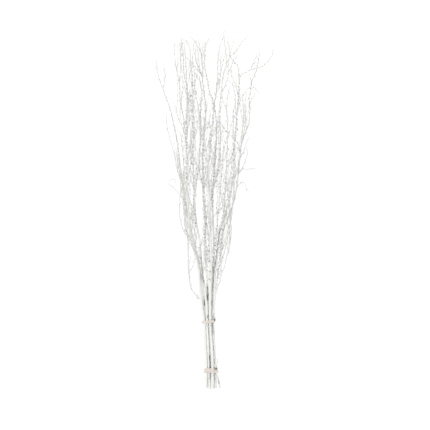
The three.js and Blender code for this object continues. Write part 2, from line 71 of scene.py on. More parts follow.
# The ties: their heights, their turns, and how much the upper one's turns rise to the right
TIE_LOWER_Y = 0
TIE_UPPER_Y = 137
TURNS_LOWER = 5
TURNS_UPPER = 3
SLANT_UPPER = 0.12

# Wood: the tip radius of a stem and of a limb, a limb's root as a share of what it grows from and its
# least radius, and the least sine of a side shoot's angle in working out how much its host hides
STEM_TIP = 0.75
LIMB_TIP = 0.6
LIMB_SHARE = 0.62
LIMB_ROOT_LEAST = 0.95
LEAST_SINE = 0.25

# What lies on the surface is pressed to it by this much, and flat there
PRESS = 0.4

# Twigs: seeded, none on the bare lower stems and none at the very end of a shoot
SEED = 20417
BARE_BELOW_Y = 232
END_LEFT_BARE = 12
LOWEST_TWIG = 1.6

# How much a seeded shoot turns upward at each of its nodes, how much its host's direction counts in that,
# how much it zigzags, and how steeply it may climb, as a sine
TURN_UPWARD = 0.42
HOST_PULL = 0.6
ZIGZAG = 0.13
STEEPEST = 0.75

# Where in its stretch of the host it leaves: after the first share of it, within the second
PLACE_FIRST = 0.3
PLACE_SPREAD = 0.6

# Room between shoots: samples this far apart along them keep a habit's room more than their radii
SAMPLE = 5
ROOT_STRETCH = 14
HOST_STRETCH = 45

# How a seeded shoot grows: one to each stretch of its host, tried a few times, with its lengths, spread from
# the host, thickness and the room that it keeps
Habit = namedtuple(
    "Habit",
    "stretch tries shortest longest internode spread_least spread_most share root_least root_most end room",
)
TWIG = Habit(56, 10, 70, 190, 31, 0.22, 0.58, 0.6, 0.65, 1.2, 0.5, 2.4)
TWIGLET = Habit(25, 6, 16, 78, 13, 0.3, 0.85, 0.72, 0.42, 0.62, 0.36, 1.1)

# How many of the places for a twig have one, as [height, share left of PARTING, share right of it], and the
# same for the twiglets, which have a seed of their own
PARTING = 8
TWIG_THINNING = [
    [230, 1, 1],
    [560, 0.95, 0.9],
    [700, 0.7, 0.5],
    [800, 0.45, 0.25],
    [950, 0.35, 0.15],
]
TWIGLET_SEED = 7331
TWIGLET_THINNING = [
    [230, 0.5, 0.5],
    [400, 0.6, 0.6],
    [520, 0.5, 0.5],
    [690, 0.3, 0.25],
    [800, 0.2, 0.12],
    [960, 0.15, 0.08],
]

# The outline that the twigs stay in, as [height, left, right, top]
FAN = [
    [230, -60, 30, 40],
    [300, -67, 42, 50],
    [364, -72, 58, 60],
    [400, -88, 58, 68],
    [480, -93, 66, 80],
    [560, -98, 79, 95],
    [600, -105, 82, 102],
    [640, -114, 89, 110],
    [670, -120, 99, 116],
    [714, -126, 110, 125],
    [750, -125, 115, 130],
    [790, -139, 120, 135],
    [860, -153, 162, 142],
    [880, -112, 165, 142],
    [930, -84, 103, 138],
    [946, -60, 60, 134],
]

# The gaps between the branches that no twig enters, each as [height, left, right]
GAP_MIDDLE = [
    [765, 5, 5],
    [812, -7, 15],
    [868, -12, 17],
    [946, -10, 20],
]
GAP_INNER = [
    [350, -43, -35],
    [450, -40, -25],
    [515, -42, -29],
    [540, -37, -33],
]
GAP_CENTRE = [
    [380, 7, 17],
    [440, 7, 16],
    [500, 3, 15],
    [525, 7, 9],
]
GAP_LEFT = [
    [690, -98, -92],
    [742, -112, -98],
    [800, -124, -94],
    [868, -126, -106],
    [946, -132, -106],
]
GAP_OUTER = [
    [600, -89, -84],
    [644, -94, -80],
    [672, -97, -83],
    [690, -95, -88],
]
GAP_LOOP = [
    [232, -58, -33],
    [285, -60, -39],
    [310, -56, -42],
    [330, -50, -46],
]
GAP_EDGE = [
    [640, -111, -98],
    [700, -122, -109],
    [746, -127, -119],
    [790, -139, -134],
]
GAPS = [GAP_MIDDLE, GAP_INNER, GAP_CENTRE, GAP_LEFT, GAP_OUTER, GAP_LOOP, GAP_EDGE]
# A limb: the height at which it leaves what it grows from, its route, its own limbs and its tip radius
Limb = namedtuple("Limb", "leaves route limbs tip", defaults=((), LIMB_TIP))
Branch = namedtuple("Branch", "name butt stem limbs tip", defaults=(STEM_TIP,))

# Each branch: its radius at the cut end, its stem's route, its limbs and the radius at its tip. A point whose
# z is 0 lies on the surface.
BRANCHES = [
    Branch(
        "branch_left_outer",
        4.1,
        [
            [-13, -50, 15.3], [-12.8, 0, 14.9], [-16.4, 80, 14], [-19, 135, 13.6], [-26, 182, 15.4],
            [-31, 232, 18], [-36, 285, 22], [-46, 328, 25], [-56, 364, 28], [-61, 410, 31],
            [-65, 476, 36], [-67, 560, 44], [-69, 644, 53], [-66, 728, 62], [-67, 784, 69],
            [-75, 826, 75], [-77, 874, 81], [-82, 924, 88],
        ],
        [
            Limb(352, [
                [-67, 374, 28], [-81, 402, 28], [-88, 434, 29], [-86, 480, 31], [-86, 526, 34],
                [-95, 566, 37], [-104, 606, 40], [-114, 646, 43], [-123, 682, 46], [-125, 714, 49],
            ], [
                Limb(490, [
                    [-101, 507, 33], [-112, 516, 34], [-119, 523, 35], [-115, 530, 36],
                    [-108, 534, 37], [-100, 532, 37], [-100, 519, 36],
                ]),
            ]),
            Limb(628, [
                [-74, 658, 51], [-80, 680, 50], [-87, 694, 49], [-97, 721, 48], [-101, 742, 48],
            ]),
            Limb(645, [
                [-76, 703, 60], [-83, 736, 65], [-88, 772, 70], [-89, 806, 75], [-95, 838, 80],
                [-100, 868, 84], [-100, 910, 90],
            ]),
            Limb(690, [
                [-64.4, 714, 63.5], [-63, 749, 68], [-64.6, 772, 72.6], [-68, 811, 78],
                [-70.5, 855, 83], [-73.5, 900, 88], [-76, 922, 91],
            ]),
        ],
        tip=1.1,
    ),
    Branch(
        "branch_left_back",
        4,
        [
            [-11.8, -46, 6.8], [-11.8, 0, 6.7], [-15.2, 80, 6.5], [-17.5, 135, 6.4],
            [-19.4, 186, 6.4], [-24.6, 236, 6], [-34, 300, 5.2], [-46, 350, 4], [-60, 410, 0],
            [-72, 470, 0], [-81, 530, 0], [-88, 580, 3.4], [-92, 620, 5], [-99, 662, 8],
            [-108, 704, 12], [-117, 740, 16], [-129, 770, 21], [-135, 788, 24], [-144, 812, 28],
            [-150, 840, 33], [-152, 862, 37],
        ],
        [
            Limb(-29, [[-17.9, -24, 7.6]], tip=1.7),
            Limb(86, [[-21.4, 93, 7.4]], tip=1.3),
            Limb(188, [
                [-42, 209, 8], [-53, 224, 9.5], [-60, 252, 11], [-63, 300, 12], [-64, 340, 12],
                [-65, 370, 12], [-71, 402, 13], [-74, 446, 15], [-75, 500, 19], [-76, 560, 24],
                [-80, 620, 30], [-85, 664, 36],
            ], [
                Limb(272, [[-52, 288, 13], [-46, 304, 13], [-44, 340, 14], [-40, 384, 17]]),
            ]),
            Limb(786, [[-131, 802, 27], [-128, 820, 29], [-129, 838, 33], [-133, 854, 36]]),
        ],
    ),
    Branch(
        "branch_left_inner",
        3.7,
        [
            [-4.4, -51, 15.2], [-4.8, 0, 15], [-7.5, 56, 13.9], [-10, 104, 13.2],
            [-10.8, 135, 13.3], [-12, 178, 15], [-17, 224, 19], [-24, 272, 24], [-28, 316, 29],
            [-32, 364, 35], [-40, 406, 39], [-45, 448, 43], [-47, 504, 49], [-49, 560, 55],
            [-50, 616, 61], [-49, 656, 65], [-52, 700, 71], [-53, 756, 79], [-51, 798, 84],
            [-54, 840, 91], [-57, 868, 95], [-60, 900, 101], [-71, 919, 106],
        ],
        [
            Limb(470, [
                [-42, 510, 52], [-34, 570, 60], [-30, 640, 68], [-31, 690, 75], [-35, 735, 81],
                [-42, 765, 86], [-45, 796, 92], [-47, 832, 98], [-52, 872, 106],
            ], [
                Limb(698, [
                    [-28, 726, 82], [-27, 750, 88], [-29, 800, 100], [-37, 816, 104],
                    [-49, 834, 110],
                ]),
            ]),
        ],
    ),
    Branch(
        "branch_middle_left",
        4,
        [
            [-3.6, -49, 6.8], [-3.6, 0, 6.7], [-7, 80, 6.5], [-9.6, 135, 6.4], [-9.2, 182, 7.4],
            [-10, 232, 9.2], [-13, 282, 11.5], [-16, 330, 14], [-17, 380, 17], [-18, 424, 20],
            [-20, 476, 23], [-22, 540, 27], [-23, 600, 31], [-21, 644, 34], [-17, 690, 38],
            [-14, 728, 42], [-19, 770, 47], [-23, 806, 52], [-23, 842, 56], [-27, 880, 61],
            [-34, 918, 66],
        ],
        [
            Limb(498, [
                [-28, 536, 28], [-33, 568, 30], [-32, 612, 33], [-28, 660, 36], [-29, 704, 38],
            ]),
            Limb(800, [[-28, 826, 53], [-42, 843, 54], [-57, 862, 55], [-70, 874, 56]]),
            Limb(812, [[-33, 840, 60], [-42, 866, 65], [-43, 882, 68], [-42, 899, 71]]),
            Limb(868, [[-24, 892, 64], [-22, 921, 69]]),
            Limb(888, [[-42, 912, 66], [-56, 931, 69]]),
        ],
        tip=1,
    ),
    Branch(
        "branch_middle",
        4.5,
        [
            [4.2, -52, 15.4], [4.2, 0, 15.2], [3, 56, 14.8], [-0.8, 110, 14.3], [-1.8, 135, 14.2],
            [-2.2, 178, 17], [-1.5, 230, 22], [0, 280, 28], [0, 330, 34], [-2, 380, 40],
            [-4, 430, 46], [-4, 476, 52], [-7, 540, 60], [-6, 600, 68], [-1, 650, 75], [4, 690, 80],
            [7, 728, 85], [6, 750, 88], [-3, 774, 92], [-10, 806, 97], [-17, 845, 104],
            [-18, 870, 108], [-16, 896, 113], [-7, 921, 118],
        ],
        [
            Limb(246, [[-5, 254, 29], [-12, 258, 31]]),
            Limb(266, [[-4, 276, 33], [-11, 279, 36]]),
            Limb(292, [
                [-10, 319, 35], [-14, 345, 40], [-17, 375, 45], [-18, 403, 49], [-20, 450, 56],
                [-19, 500, 63], [-22, 560, 72],
            ]),
            Limb(300, [
                [9, 332, 37], [14, 380, 43], [19, 430, 49], [23, 476, 55], [28, 530, 62],
                [33, 584, 69], [34, 630, 75],
            ]),
        ],
        tip=1.3,
    ),
    Branch(
        "branch_middle_back",
        3.9,
        [
            [4.6, -50, 6.7], [4.6, 0, 6.6], [0.8, 80, 6.4], [-1.6, 135, 6.3], [1.2, 178, 7],
            [4, 230, 9.2], [7, 280, 12.5], [8, 336, 15.5], [7, 390, 19], [5, 440, 22.5],
            [4, 476, 25], [8, 540, 30], [12, 600, 35], [15, 650, 40], [15, 690, 44], [11, 725, 47],
            [10, 748, 49], [14, 775, 52], [17, 800, 55], [19, 836, 59], [20, 874, 64],
            [26, 908, 68], [35, 930, 71], [36.5, 946, 73],
        ],
        [
            Limb(500, [
                [15, 540, 27], [23, 580, 28], [26, 630, 31], [25, 690, 35], [25, 742, 40],
                [30, 784, 44], [33, 820, 48], [44, 866, 53], [40, 893, 57], [37, 926, 60],
            ], [
                Limb(774, [[38, 792, 44], [44, 807, 45], [48, 832, 46], [48, 854, 45]]),
                Limb(846, [[54, 876, 57], [70, 890, 59], [86, 915, 62], [101, 930, 64]]),
            ]),
            Limb(790, [[25, 818, 60], [27, 860, 69], [28, 882, 74]]),
        ],
    ),
    Branch(
        "branch_right_inner",
        3.6,
        [
            [13.2, -50, 6.6], [12.2, 0, 6.4], [9.4, 60, 6.2], [7.2, 104, 6], [6.2, 135, 5.9],
            [8.2, 182, 8], [10, 230, 12], [12, 280, 16], [16, 325, 20], [22, 370, 25],
            [32, 412, 30], [43, 448, 35], [54, 490, 40], [62, 540, 46], [66, 590, 51],
            [66, 640, 57], [70, 686, 62], [74, 730, 68], [77, 776, 74], [78, 820, 80],
            [73, 850, 84], [62, 862, 86], [54, 876, 88], [51, 893, 91], [48, 912, 94],
        ],
        [
            Limb(408, [
                [36, 452, 40], [40, 500, 47], [43, 560, 54], [45, 620, 60], [46, 680, 66],
                [44, 735, 72], [47, 770, 76], [52, 788, 79],
            ]),
            Limb(702, [[68, 738, 73], [66, 774, 79], [60, 796, 84], [50, 806, 88]]),
            Limb(736, [[84, 757, 71], [92, 770, 73], [100, 782, 75], [112, 791, 78]]),
            Limb(764, [
                [68, 796, 76], [60, 815, 77], [55, 830, 80], [57, 846, 88], [62, 860, 96],
                [73, 876, 101],
            ]),
            Limb(810, [
                [87, 827, 81], [98, 831, 82], [112, 839, 83], [124, 841, 84], [135, 844, 84],
                [151, 854, 86], [163, 867, 88], [170, 880, 90], [173, 896, 92],
            ], [
                Limb(838, [[118, 856, 86], [127, 877, 89]]),
            ]),
        ],
    ),
    Branch(
        "branch_right_outer",
        2.3,
        [
            [24.4, -50, 15], [20.4, -26, 14], [14.3, 0, 12.3], [10.6, 56, 12.6], [7.2, 100, 12.6],
            [5, 135, 12.4], [9, 178, 15.2], [14, 222, 15.6], [19, 268, 14.4], [24, 308, 12],
            [29, 350, 9.5], [35, 390, 7], [48, 425, 4.6], [59, 456, 0], [68, 490, 0], [74, 525, 0],
            [77, 562, 3.4], [81, 600, 5], [86, 634, 9], [95, 662, 13], [106, 692, 17],
            [109, 722, 20], [106, 755, 24], [110, 782, 28], [115, 809, 32], [123, 827, 36],
            [128, 845, 39], [132, 866, 43], [136, 888, 47],
        ],
        [
            Limb(214, [
                [19, 235, 20], [26, 250, 22], [28, 276, 24], [28, 304, 27], [30, 332, 31],
                [32, 356, 35],
            ], [
                Limb(268, [
                    [35, 282, 25], [39, 298, 26], [43, 316, 27], [50, 334, 29], [54, 358, 31],
                    [57, 386, 33], [55, 410, 36], [52, 440, 42],
                ]),
            ]),
            Limb(270, [[25, 277, 16], [31, 279, 17]]),
            Limb(510, [[84, 524, 4], [90, 526, 5], [96, 515, 6], [101, 504, 6.5], [107, 499, 7]]),
            Limb(546, [[88, 566, 10], [97, 588, 14], [102, 608, 19], [99, 623, 23]]),
            Limb(552, [[90, 563, 4], [99, 562, 4.5], [114, 564, 5.5], [129, 563, 6.5]]),
            Limb(592, [[89, 608, 5], [95, 624, 6], [101, 641, 7], [109, 653, 8]]),
            Limb(606, [[76, 632, 10], [62, 650, 14], [45, 666, 18], [34, 680, 21], [22, 692, 24]]),
            Limb(636, [[91, 664, 16], [96, 690, 22], [97, 714, 28], [98, 738, 33]]),
            Limb(740, [[113, 757, 21], [123, 773, 21]]),
            Limb(784, [[120, 790, 26], [127, 784, 25], [134, 774, 24]]),
            Limb(790, [[112, 806, 36], [107, 827, 42]]),
        ],
    ),
]


# Growth


class Draws:
    """Seeded numbers between 0 and 1, the same ones each run."""

    FACTOR = 1664525
    STEP = 1013904223
    RANGE = 2**32

    def __init__(self, seed):
        self.state = seed

    def __call__(self):
        self.state = (self.state * self.FACTOR + self.STEP) % self.RANGE
        return self.state / self.RANGE

    def between(self, low, high):
        return low + self() * (high - low)


def unit(vector):
    return vector / np.linalg.norm(vector)


def across(ahead):
    """Two directions square to the one that a shoot runs in: sideways, and up from it."""
    side = unit(np.cross(ahead, UP))
    return side, np.cross(side, ahead)


class Shoot:
    """A line of points with a radius at each, thinning evenly from root to tip.

    kind is stem, limb, twig, twiglet or spur, level how many shoots it is away from a stem, leaves the
    distance along its host where it starts, and buried how much of its length is inside the host.
    """

    def __init__(self, points, root_radius, tip_radius, kind, host=None, leaves=0.0, buried=0.0):
        self.points = np.array(points, float)
        steps = np.linalg.norm(np.diff(self.points, axis=0), axis=1)
        self.lengths = np.concatenate(([0.0], np.cumsum(steps)))
        self.whole = self.lengths[-1]
        self.radii = root_radius + (tip_radius - root_radius) * (self.lengths / self.whole)
        self.points[:, 2] = np.maximum(self.points[:, 2], self.radii - PRESS)
        self.root_radius = root_radius
        self.tip_radius = tip_radius
        self.kind = kind
        self.host = host
        self.level = host.level + 1 if host else 0
        self.leaves = leaves
        self.host_radius = float(host.at(leaves)[1]) if host else 0.0
        self.buried = buried

    def at(self, distances):
        """The points, radii and directions at distances from the root."""
        after = np.clip(np.searchsorted(self.lengths, distances), 1, len(self.lengths) - 1)
        before = after - 1
        stretch = self.lengths[after] - self.lengths[before]
        share = (distances - self.lengths[before]) / stretch
        step = self.points[after] - self.points[before]
        points = self.points[before] + step * np.expand_dims(share, -1)
        radii = self.radii[before] + (self.radii[after] - self.radii[before]) * share
        return points, radii, step / np.linalg.norm(step, axis=-1, keepdims=True)

    def distance_at_height(self, height):
        """How far along it first comes to a height."""
        after = 1
        while after < len(self.points) - 1 and self.points[after][1] < height:
            after += 1
        low, high = self.points[after - 1][1], self.points[after][1]
        share = (height - low) / (high - low)
        return self.lengths[after - 1] + share * (self.lengths[after] - self.lengths[after - 1])

    def smooth_at(self, distances):
        """Points of a smooth curve through its points."""
        slopes = np.gradient(self.points, self.lengths, axis=0)
        i = np.clip(np.searchsorted(self.lengths, distances, side="right") - 1, 0, len(self.points) - 2)
        stretch = (self.lengths[i + 1] - self.lengths[i])[:, None]
        s = (distances - self.lengths[i])[:, None] / stretch
        start = (1 + 2 * s) * (1 - s) ** 2 * self.points[i] + s * (1 - s) ** 2 * stretch * slopes[i]
        end = s * s * (3 - 2 * s) * self.points[i + 1] + s * s * (s - 1) * stretch * slopes[i + 1]
        return start + end


def buried_length(host_radius, host_ahead, ahead):
    """How much of a side shoot is inside its host, by the angle between them."""
    sine = np.linalg.norm(np.cross(host_ahead, unit(ahead)))
    return host_radius / max(sine, LEAST_SINE)


def framework(branch):
    """The stem of a branch and its limbs, each limb after what it grows from."""
    stem = Shoot(branch.stem, branch.butt, branch.tip, "stem")
    shoots = [stem]

    def grow(host, limbs):
        for limb in limbs:
            leaves = host.distance_at_height(limb.leaves)
            root, host_radius, ahead = host.at(leaves)
            radius = max(host_radius * LIMB_SHARE, LIMB_ROOT_LEAST)
            buried = buried_length(host_radius, ahead, np.array(limb.route[0]) - root)
            points = [root, *limb.route]
            grown = Shoot(points, radius, limb.tip, "limb", host, leaves, buried)
            shoots.append(grown)
            grow(grown, limb.limbs)

    grow(stem, branch.limbs)
    return shoots


def row_at(rows, height):
    """What a list of rows gives at a height, or None outside their heights."""
    for low, high in zip(rows, rows[1:]):
        if low[0] < height <= high[0]:
            share = (height - low[0]) / (high[0] - low[0])
            return [a + (b - a) * share for a, b in zip(low[1:], high[1:])]
    return None


def in_fan(point):
    x, y, z = point
    gaps = [row_at(rows, y) for rows in GAPS]
    if any(gap and gap[0] < x < gap[1] for gap in gaps):
        return False
    fan = row_at(FAN, y)
    return bool(fan) and fan[0] < x < fan[1] and LOWEST_TWIG < z < fan[2]


class Marks:
    """Samples along every shoot so far, to keep new ones clear of them."""

    def __init__(self):
        self.points = np.zeros((0, 3))
        self.radii = np.zeros(0)
        self.owners = np.zeros(0, int)
        self.branches = np.zeros(0, int)

    def add(self, shoot, branch):
        count = math.ceil(shoot.whole / SAMPLE)
        points, radii, _ = shoot.at(shoot.whole * np.arange(count + 1) / count)
        self.points = np.vstack((self.points, points))
        self.radii = np.concatenate((self.radii, radii))
        self.owners = np.concatenate((self.owners, np.full(count + 1, id(shoot))))
        self.branches = np.concatenate((self.branches, np.full(count + 1, branch)))

    def leave_room(self, shoot, host, branch, room):
        """True if shoot keeps clear of all but its own root and the host near it."""
        count = math.ceil(shoot.whole / SAMPLE)
        distances = shoot.whole * np.arange(count + 1) / count
        points, radii, _ = shoot.at(distances)
        reach = room + radii.max() + self.radii.max()
        near = np.all((self.points > points.min(0) - reach) & (self.points < points.max(0) + reach), axis=1)
        others, other_radii = self.points[near], self.radii[near]
        gaps = np.linalg.norm(others[None] - points[:, None], axis=2)
        clear = gaps > other_radii[None] + radii[:, None] + room
        own = self.branches[near] == branch
        near_root = own[None] & (distances < ROOT_STRETCH)[:, None]
        from_root = np.linalg.norm(others - shoot.points[0], axis=1)
        near_host = (self.owners[near] == id(host)) & (from_root < HOST_STRETCH)
        return bool(np.all(near_root | near_host[None] | clear))


def side_shoot(host, distance, habit, kind, draws):
    """A shoot that leaves its host at a distance along it, then turns upward in small zigzags."""
    point, radius, ahead = host.at(distance)
    side, lift = across(ahead)
    azimuth = draws() * math.tau
    spread = draws.between(habit.spread_least, habit.spread_most)
    length = draws.between(habit.shortest, habit.longest)
    outward = side * math.cos(azimuth) + lift * math.sin(azimuth)
    heading = ahead * math.cos(spread) + outward * math.sin(spread)
    upward = unit(ahead * HOST_PULL + GROWTH)
    sway = np.cross(outward, ahead)
    steps = max(2, round(length / habit.internode))
    points = [point]
    for step in range(1, steps + 1):
        points.append(points[-1] + heading * (length / steps))
        heading = unit(heading + upward * TURN_UPWARD + sway * (ZIGZAG if step % 2 else -ZIGZAG))
    root_radius = min(max(radius * habit.share, habit.root_least), habit.root_most)
    buried = radius / math.sin(spread)
    tip_radius = min(habit.end, root_radius)
    grown = Shoot(points, root_radius, tip_radius, kind, host, distance, buried)
    grown.radii[-1] = 0
    return grown


def is_shallow(shoot):
    """True if no stretch of it climbs too steeply."""
    points = shoot.points
    ahead = np.vstack((points[1] - points[0], points[2:] - points[:-2], points[-1] - points[-2]))
    return bool(np.all(np.abs(ahead[:, 2]) < STEEPEST * np.linalg.norm(ahead, axis=1)))


def grow_side_shoots(host, branch, habit, kind, thinning, marks, draws):
    """Seeded side shoots, one to each stretch of the host, where they find room."""
    grown = []
    start = host.distance_at_height(BARE_BELOW_Y) if host.points[0][1] < BARE_BELOW_Y else 0
    count = math.floor((host.whole - start - END_LEFT_BARE) / habit.stretch + 0.5)
    for i in range(count):
        middle = host.at(min(start + (i + 0.5) * habit.stretch, host.whole))[0]
        left, right = row_at(thinning, middle[1])
        if draws() > (left if middle[0] < PARTING else right):
            continue
        for _ in range(habit.tries):
            distance = start + (i + PLACE_FIRST + PLACE_SPREAD * draws()) * habit.stretch
            if distance > host.whole - END_LEFT_BARE:
                continue
            shoot = side_shoot(host, distance, habit, kind, draws)
            fits = is_shallow(shoot) and all(in_fan(point) for point in shoot.points[1:])
            if fits and marks.leave_room(shoot, host, branch, habit.room):
                grown.append(shoot)
                marks.add(shoot, branch)
                break
    return grown


def grow_bunch():
    """Every branch as a list of shoots: stem, limbs, twigs and twiglets, in the order they grew."""
    bunch = [framework(branch) for branch in BRANCHES]
    marks = Marks()
    for branch, shoots in enumerate(bunch):
        for shoot in shoots:
            marks.add(shoot, branch)
    draws = Draws(SEED)
    for branch, shoots in enumerate(bunch):
        for host in list(shoots):
            shoots += grow_side_shoots(host, branch, TWIG, "twig", TWIG_THINNING, marks, draws)
    draws = Draws(TWIGLET_SEED)
    for branch, shoots in enumerate(bunch):
        for host in list(shoots):
            shoots += grow_side_shoots(host, branch, TWIGLET, "twiglet", TWIGLET_THINNING, marks, draws)
    return bunch


# Fine shapes of the shoots

# For each kind of shoot: corners round it, step between its rings, how far it wanders, and its bud spacing
Fineness = namedtuple("Fineness", "corners step wander bud_spacing")
FINENESS = {
    "stem": Fineness(16, 3.2, 0.35, 8.5),
    "limb": Fineness(10, 3.6, 0.45, 9),
    "twig": Fineness(8, 3.6, 0.4, 15),
    "twiglet": Fineness(6, 4.2, 0.3, 12),
    "spur": Fineness(8, 1.2, 0, 0),
}
FINISH_SEED = 90113

# Wander: the shortest and longest of its waves, how much less of it goes upward, and how far from its
# root, or from a stem's cut end, it sets in
WANDER_WAVES = [(23, 61), (31, 87), (47, 140)]
WANDER_UPWARD = 0.6
ROOT_BLEND = 12
STEM_BLEND = 260

# Rings: the least gap between them, and where they lie closer at a root: from this share of what is
# buried, over so many lengths of the flare, so many times closer
LEAST_RING_GAP = 0.3
ROOT_RINGS_FROM = 0.4
ROOT_RINGS_OVER = 3
ROOT_RINGS_CLOSER = 3

# Where a shoot leaves its host it is this much thicker, thinning off over so many of its radii. Over the
# first share of what is buried it stays within a share of the host's radius
FLARE = 0.5
FLARE_LENGTH = 2.2
STAY_INSIDE = 0.92
STAY_INSIDE_OVER = 0.6

# Nodes, where buds sit, swell the shoot a little. The first and last keep off its root and tip, and the
# spacing and the turn from one to the next vary within these. A twig has them in rows
NODE_SWELL = 0.16
NODE_REACH = 1.3
FIRST_NODE = 5
FIRST_NODE_CHANGE = (0.8, 1.6)
LAST_NODE = 6
SPACING_CHANGE = (0.75, 1.3)
TURN_CHANGE = (-0.4, 0.4)
TWIG_ROWS = 3
BUDS_BELOW_RADIUS = 2.3

# Bark: low waves round it, as (turns, share of the radius, shortest, longest), and raised pores that lie
# across it
BARK_WAVES = [(2, 0.03, 90, 400), (3, 0.022, 30, 120), (5, 0.014, 9, 40), (1, 0.025, 12, 50)]
PORE_SPACING = (4.5, 13)
PORE_HEIGHT = (0.1, 0.24)
PORE_WIDTH = (0.35, 1.0)
PORE_LENGTH = 0.5
PORES_ABOVE_RADIUS = 1.35

# Buds: their length, then, as shares of it, their width and the height from their middle above which they
# are narrower by another share. They lean from the shoot, and sit a share of its radius out from its
# middle, or of their length back from its tip. Some nodes of stems and limbs have a short spur with the
# bud at its end
BUD_LENGTH = {"stem": (3.6, 5.4), "limb": (3.2, 4.8), "twig": (2.5, 3.8), "twiglet": (1.8, 2.8)}
BUD_SIDES = 5
BUD_WIDTH = 0.4
BUD_TOP = 0.7
BUD_TOP_FROM = 0.3
BUD_LEAN = (0.3, 0.75)
BUD_SEAT = 0.6
TIP_BUD_SEAT = 0.35
SPUR_SHARE = 0.3
SPUR_LENGTH = (3, 7)
SPUR_RADII = (0.8, 0.62)
SPUR_END = 0.6

# Sawn ends: faces that point back down the stem are drawn in to a worn rim, then to growth rings, each
# a step out and a step in. Widths are shares of the stem's radius, and so are the rim's height and how
# far out sawn wood starts. The rings' steps are in millimetres
FACES_BACK = -0.95
RIM_WIDTH = 0.1
RIM_HEIGHT = 0.08
GROWTH_RINGS = 3
RING_WIDTHS = (0.2, 0.05)
RING_STEPS = (0.05, -0.07)
SAWN_FROM = 0.03

# How much of the paint has stayed on: by the radius of the wood, on each kind of shoot's nodes and buds,
# which are rubbed bare on the thicker ones, and in the crotches. 1 is a full coat, more fills the streaks
# in it too, and the further under 0, the more bark shows
COAT_RADII = [0.3, 0.6, 1.2, 2.6]
COAT_SHARES = [0.05, 0.2, 0.6, 1.0]
NODE_COAT = {"stem": -0.9, "limb": -0.9, "twig": -0.6, "twiglet": -0.3}
BUD_COAT = {"stem": -0.9, "limb": -0.9, "twig": -0.7, "twiglet": -0.3}
CROTCH_COAT = 0

# Towards the sides and the top of the bunch wood is thinly but evenly painted, its nodes and buds too: the
# sides as [height, left, right], how far in from them and from the top that fades off, how much paint is on
# the nodes and buds there, and how much more is on the wood inside
SIDES = [
    [150, -28, 18],
    [240, -40, 28],
    [320, -62, 46],
    [400, -88, 58],
    [560, -98, 79],
    [714, -126, 110],
    [860, -153, 162],
]
SHELTER_DEPTH = 26
SHELTER_FROM_TOP = 260
TOP_Y = 940
OUTER_NODE_COAT = 0.3
INNER_COAT = 0.4

# Where wood is crowded against the wood of other branches its paint is set by branch: on some it is thin,
# as painted shade between the branches, and on others more than a full coat, as painted light that fills
# the crevices' shade: the gap at which that fades off, how much there is at the tightest, on each branch and
# by slow waves along it, the step between the places along a shoot that are looked at, how many gaps away,
# and how many at a time
CROWD_GAP = 2
CROWD_SHADE_AND_LIGHT = {
    "branch_left_outer": 1.6,
    "branch_left_back": 1.3,
    "branch_left_inner": 1.4,
    "branch_middle_left": 0.1,
    "branch_middle": 0.5,
    "branch_middle_back": 0.2,
    "branch_right_inner": 1.0,
    "branch_right_outer": 1.0,
}
CROWD_WAVE = (70, 150)
CROWD_CHANGE = 0.3
CROWD_STEP = 4
CROWD_LOOK = 4
CROWD_CHUNK = 640

# The wood of the other branches, as places along it with their radii, how much paint is set beside it,
# giving painted shade on some branches and painted light on others, and the wave in which that changes
Crowd = namedtuple("Crowd", "middles radii coat wave phase")

# Dark stretches of stems, partly paint that the brush missed and partly painted shade in the gaps between
# stems: the heights that one runs between, how far its middle is turned from the top to the right, in
# degrees, and how much paint is there. It fades in over a length at its ends, and round the stem by the
# cosine of the angle from its middle, from one value within another
DarkStretch = namedtuple("DarkStretch", "low high turn coat")
DARK_STRETCHES = {
    "branch_left_back": [DarkStretch(166, 208, 25, -0.5), DarkStretch(240, 322, 25, 0.1)],
    "branch_left_inner": [DarkStretch(-36, 52, 60, -0.5), DarkStretch(140, 162, 30, -0.5), DarkStretch(228, 330, 0, -0.2)],
    "branch_middle_left": [DarkStretch(186, 246, 0, -0.6)],
    "branch_middle": [DarkStretch(92, 165, 80, -0.3)],
    "branch_middle_back": [DarkStretch(150, 300, 10, -0.2)],
    "branch_right_inner": [DarkStretch(-36, -12, -60, -0.5), DarkStretch(282, 400, -30, -0.4)],
    "branch_right_outer": [DarkStretch(-52, -14, 0, 0.1), DarkStretch(92, 165, -30, -0.5)],
}
DARK_STRETCH_FADE = 14
DARK_STRETCH_FROM = 0.3
DARK_STRETCH_WITHIN = 0.4


def direction_along(shoot, distance):
    """The point, direction, sideways and upward directions of a shoot's fine line."""
    near = np.clip(np.array([distance - 1, distance, distance + 1]), 0, shoot.whole)
    before, point, after = fine_line(shoot, near)
    ahead = unit(after - before)
    side, lift = across(ahead)
    return point, ahead, side, lift


def fine_line(shoot, distances):
    """Points of a shoot's smooth line, with a slight wander, rooted on the fine line of its host."""
    points = shoot.smooth_at(distances)
    fade = 1 - np.exp(-((distances / shoot.blend) ** 2))
    for wave, phase, reach in shoot.wander:
        points = points + np.outer(np.sin(distances / wave + phase) * fade, reach)
    return points + np.outer(1 - fade, shoot.shift)


def give_wander(shoot, draws):
    """Small seeded waves, sideways and up, that keep a shoot from looking drawn with a ruler."""
    reach = FINENESS[shoot.kind].wander
    shoot.blend = ROOT_BLEND if shoot.host else STEM_BLEND
    shoot.shift = np.zeros(3)
    shoot.wander = []
    for shortest, longest in WANDER_WAVES:
        wave = draws.between(shortest, longest) / math.tau
        phase = draws() * math.tau
        sideways = draws.between(-1, 1) * reach
        upward = draws.between(-WANDER_UPWARD, WANDER_UPWARD) * reach
        shoot.wander.append((wave, phase, np.array([sideways, 0, upward])))
    if shoot.host:
        shoot.shift = fine_line(shoot.host, np.array([shoot.leaves]))[0] - shoot.points[0]


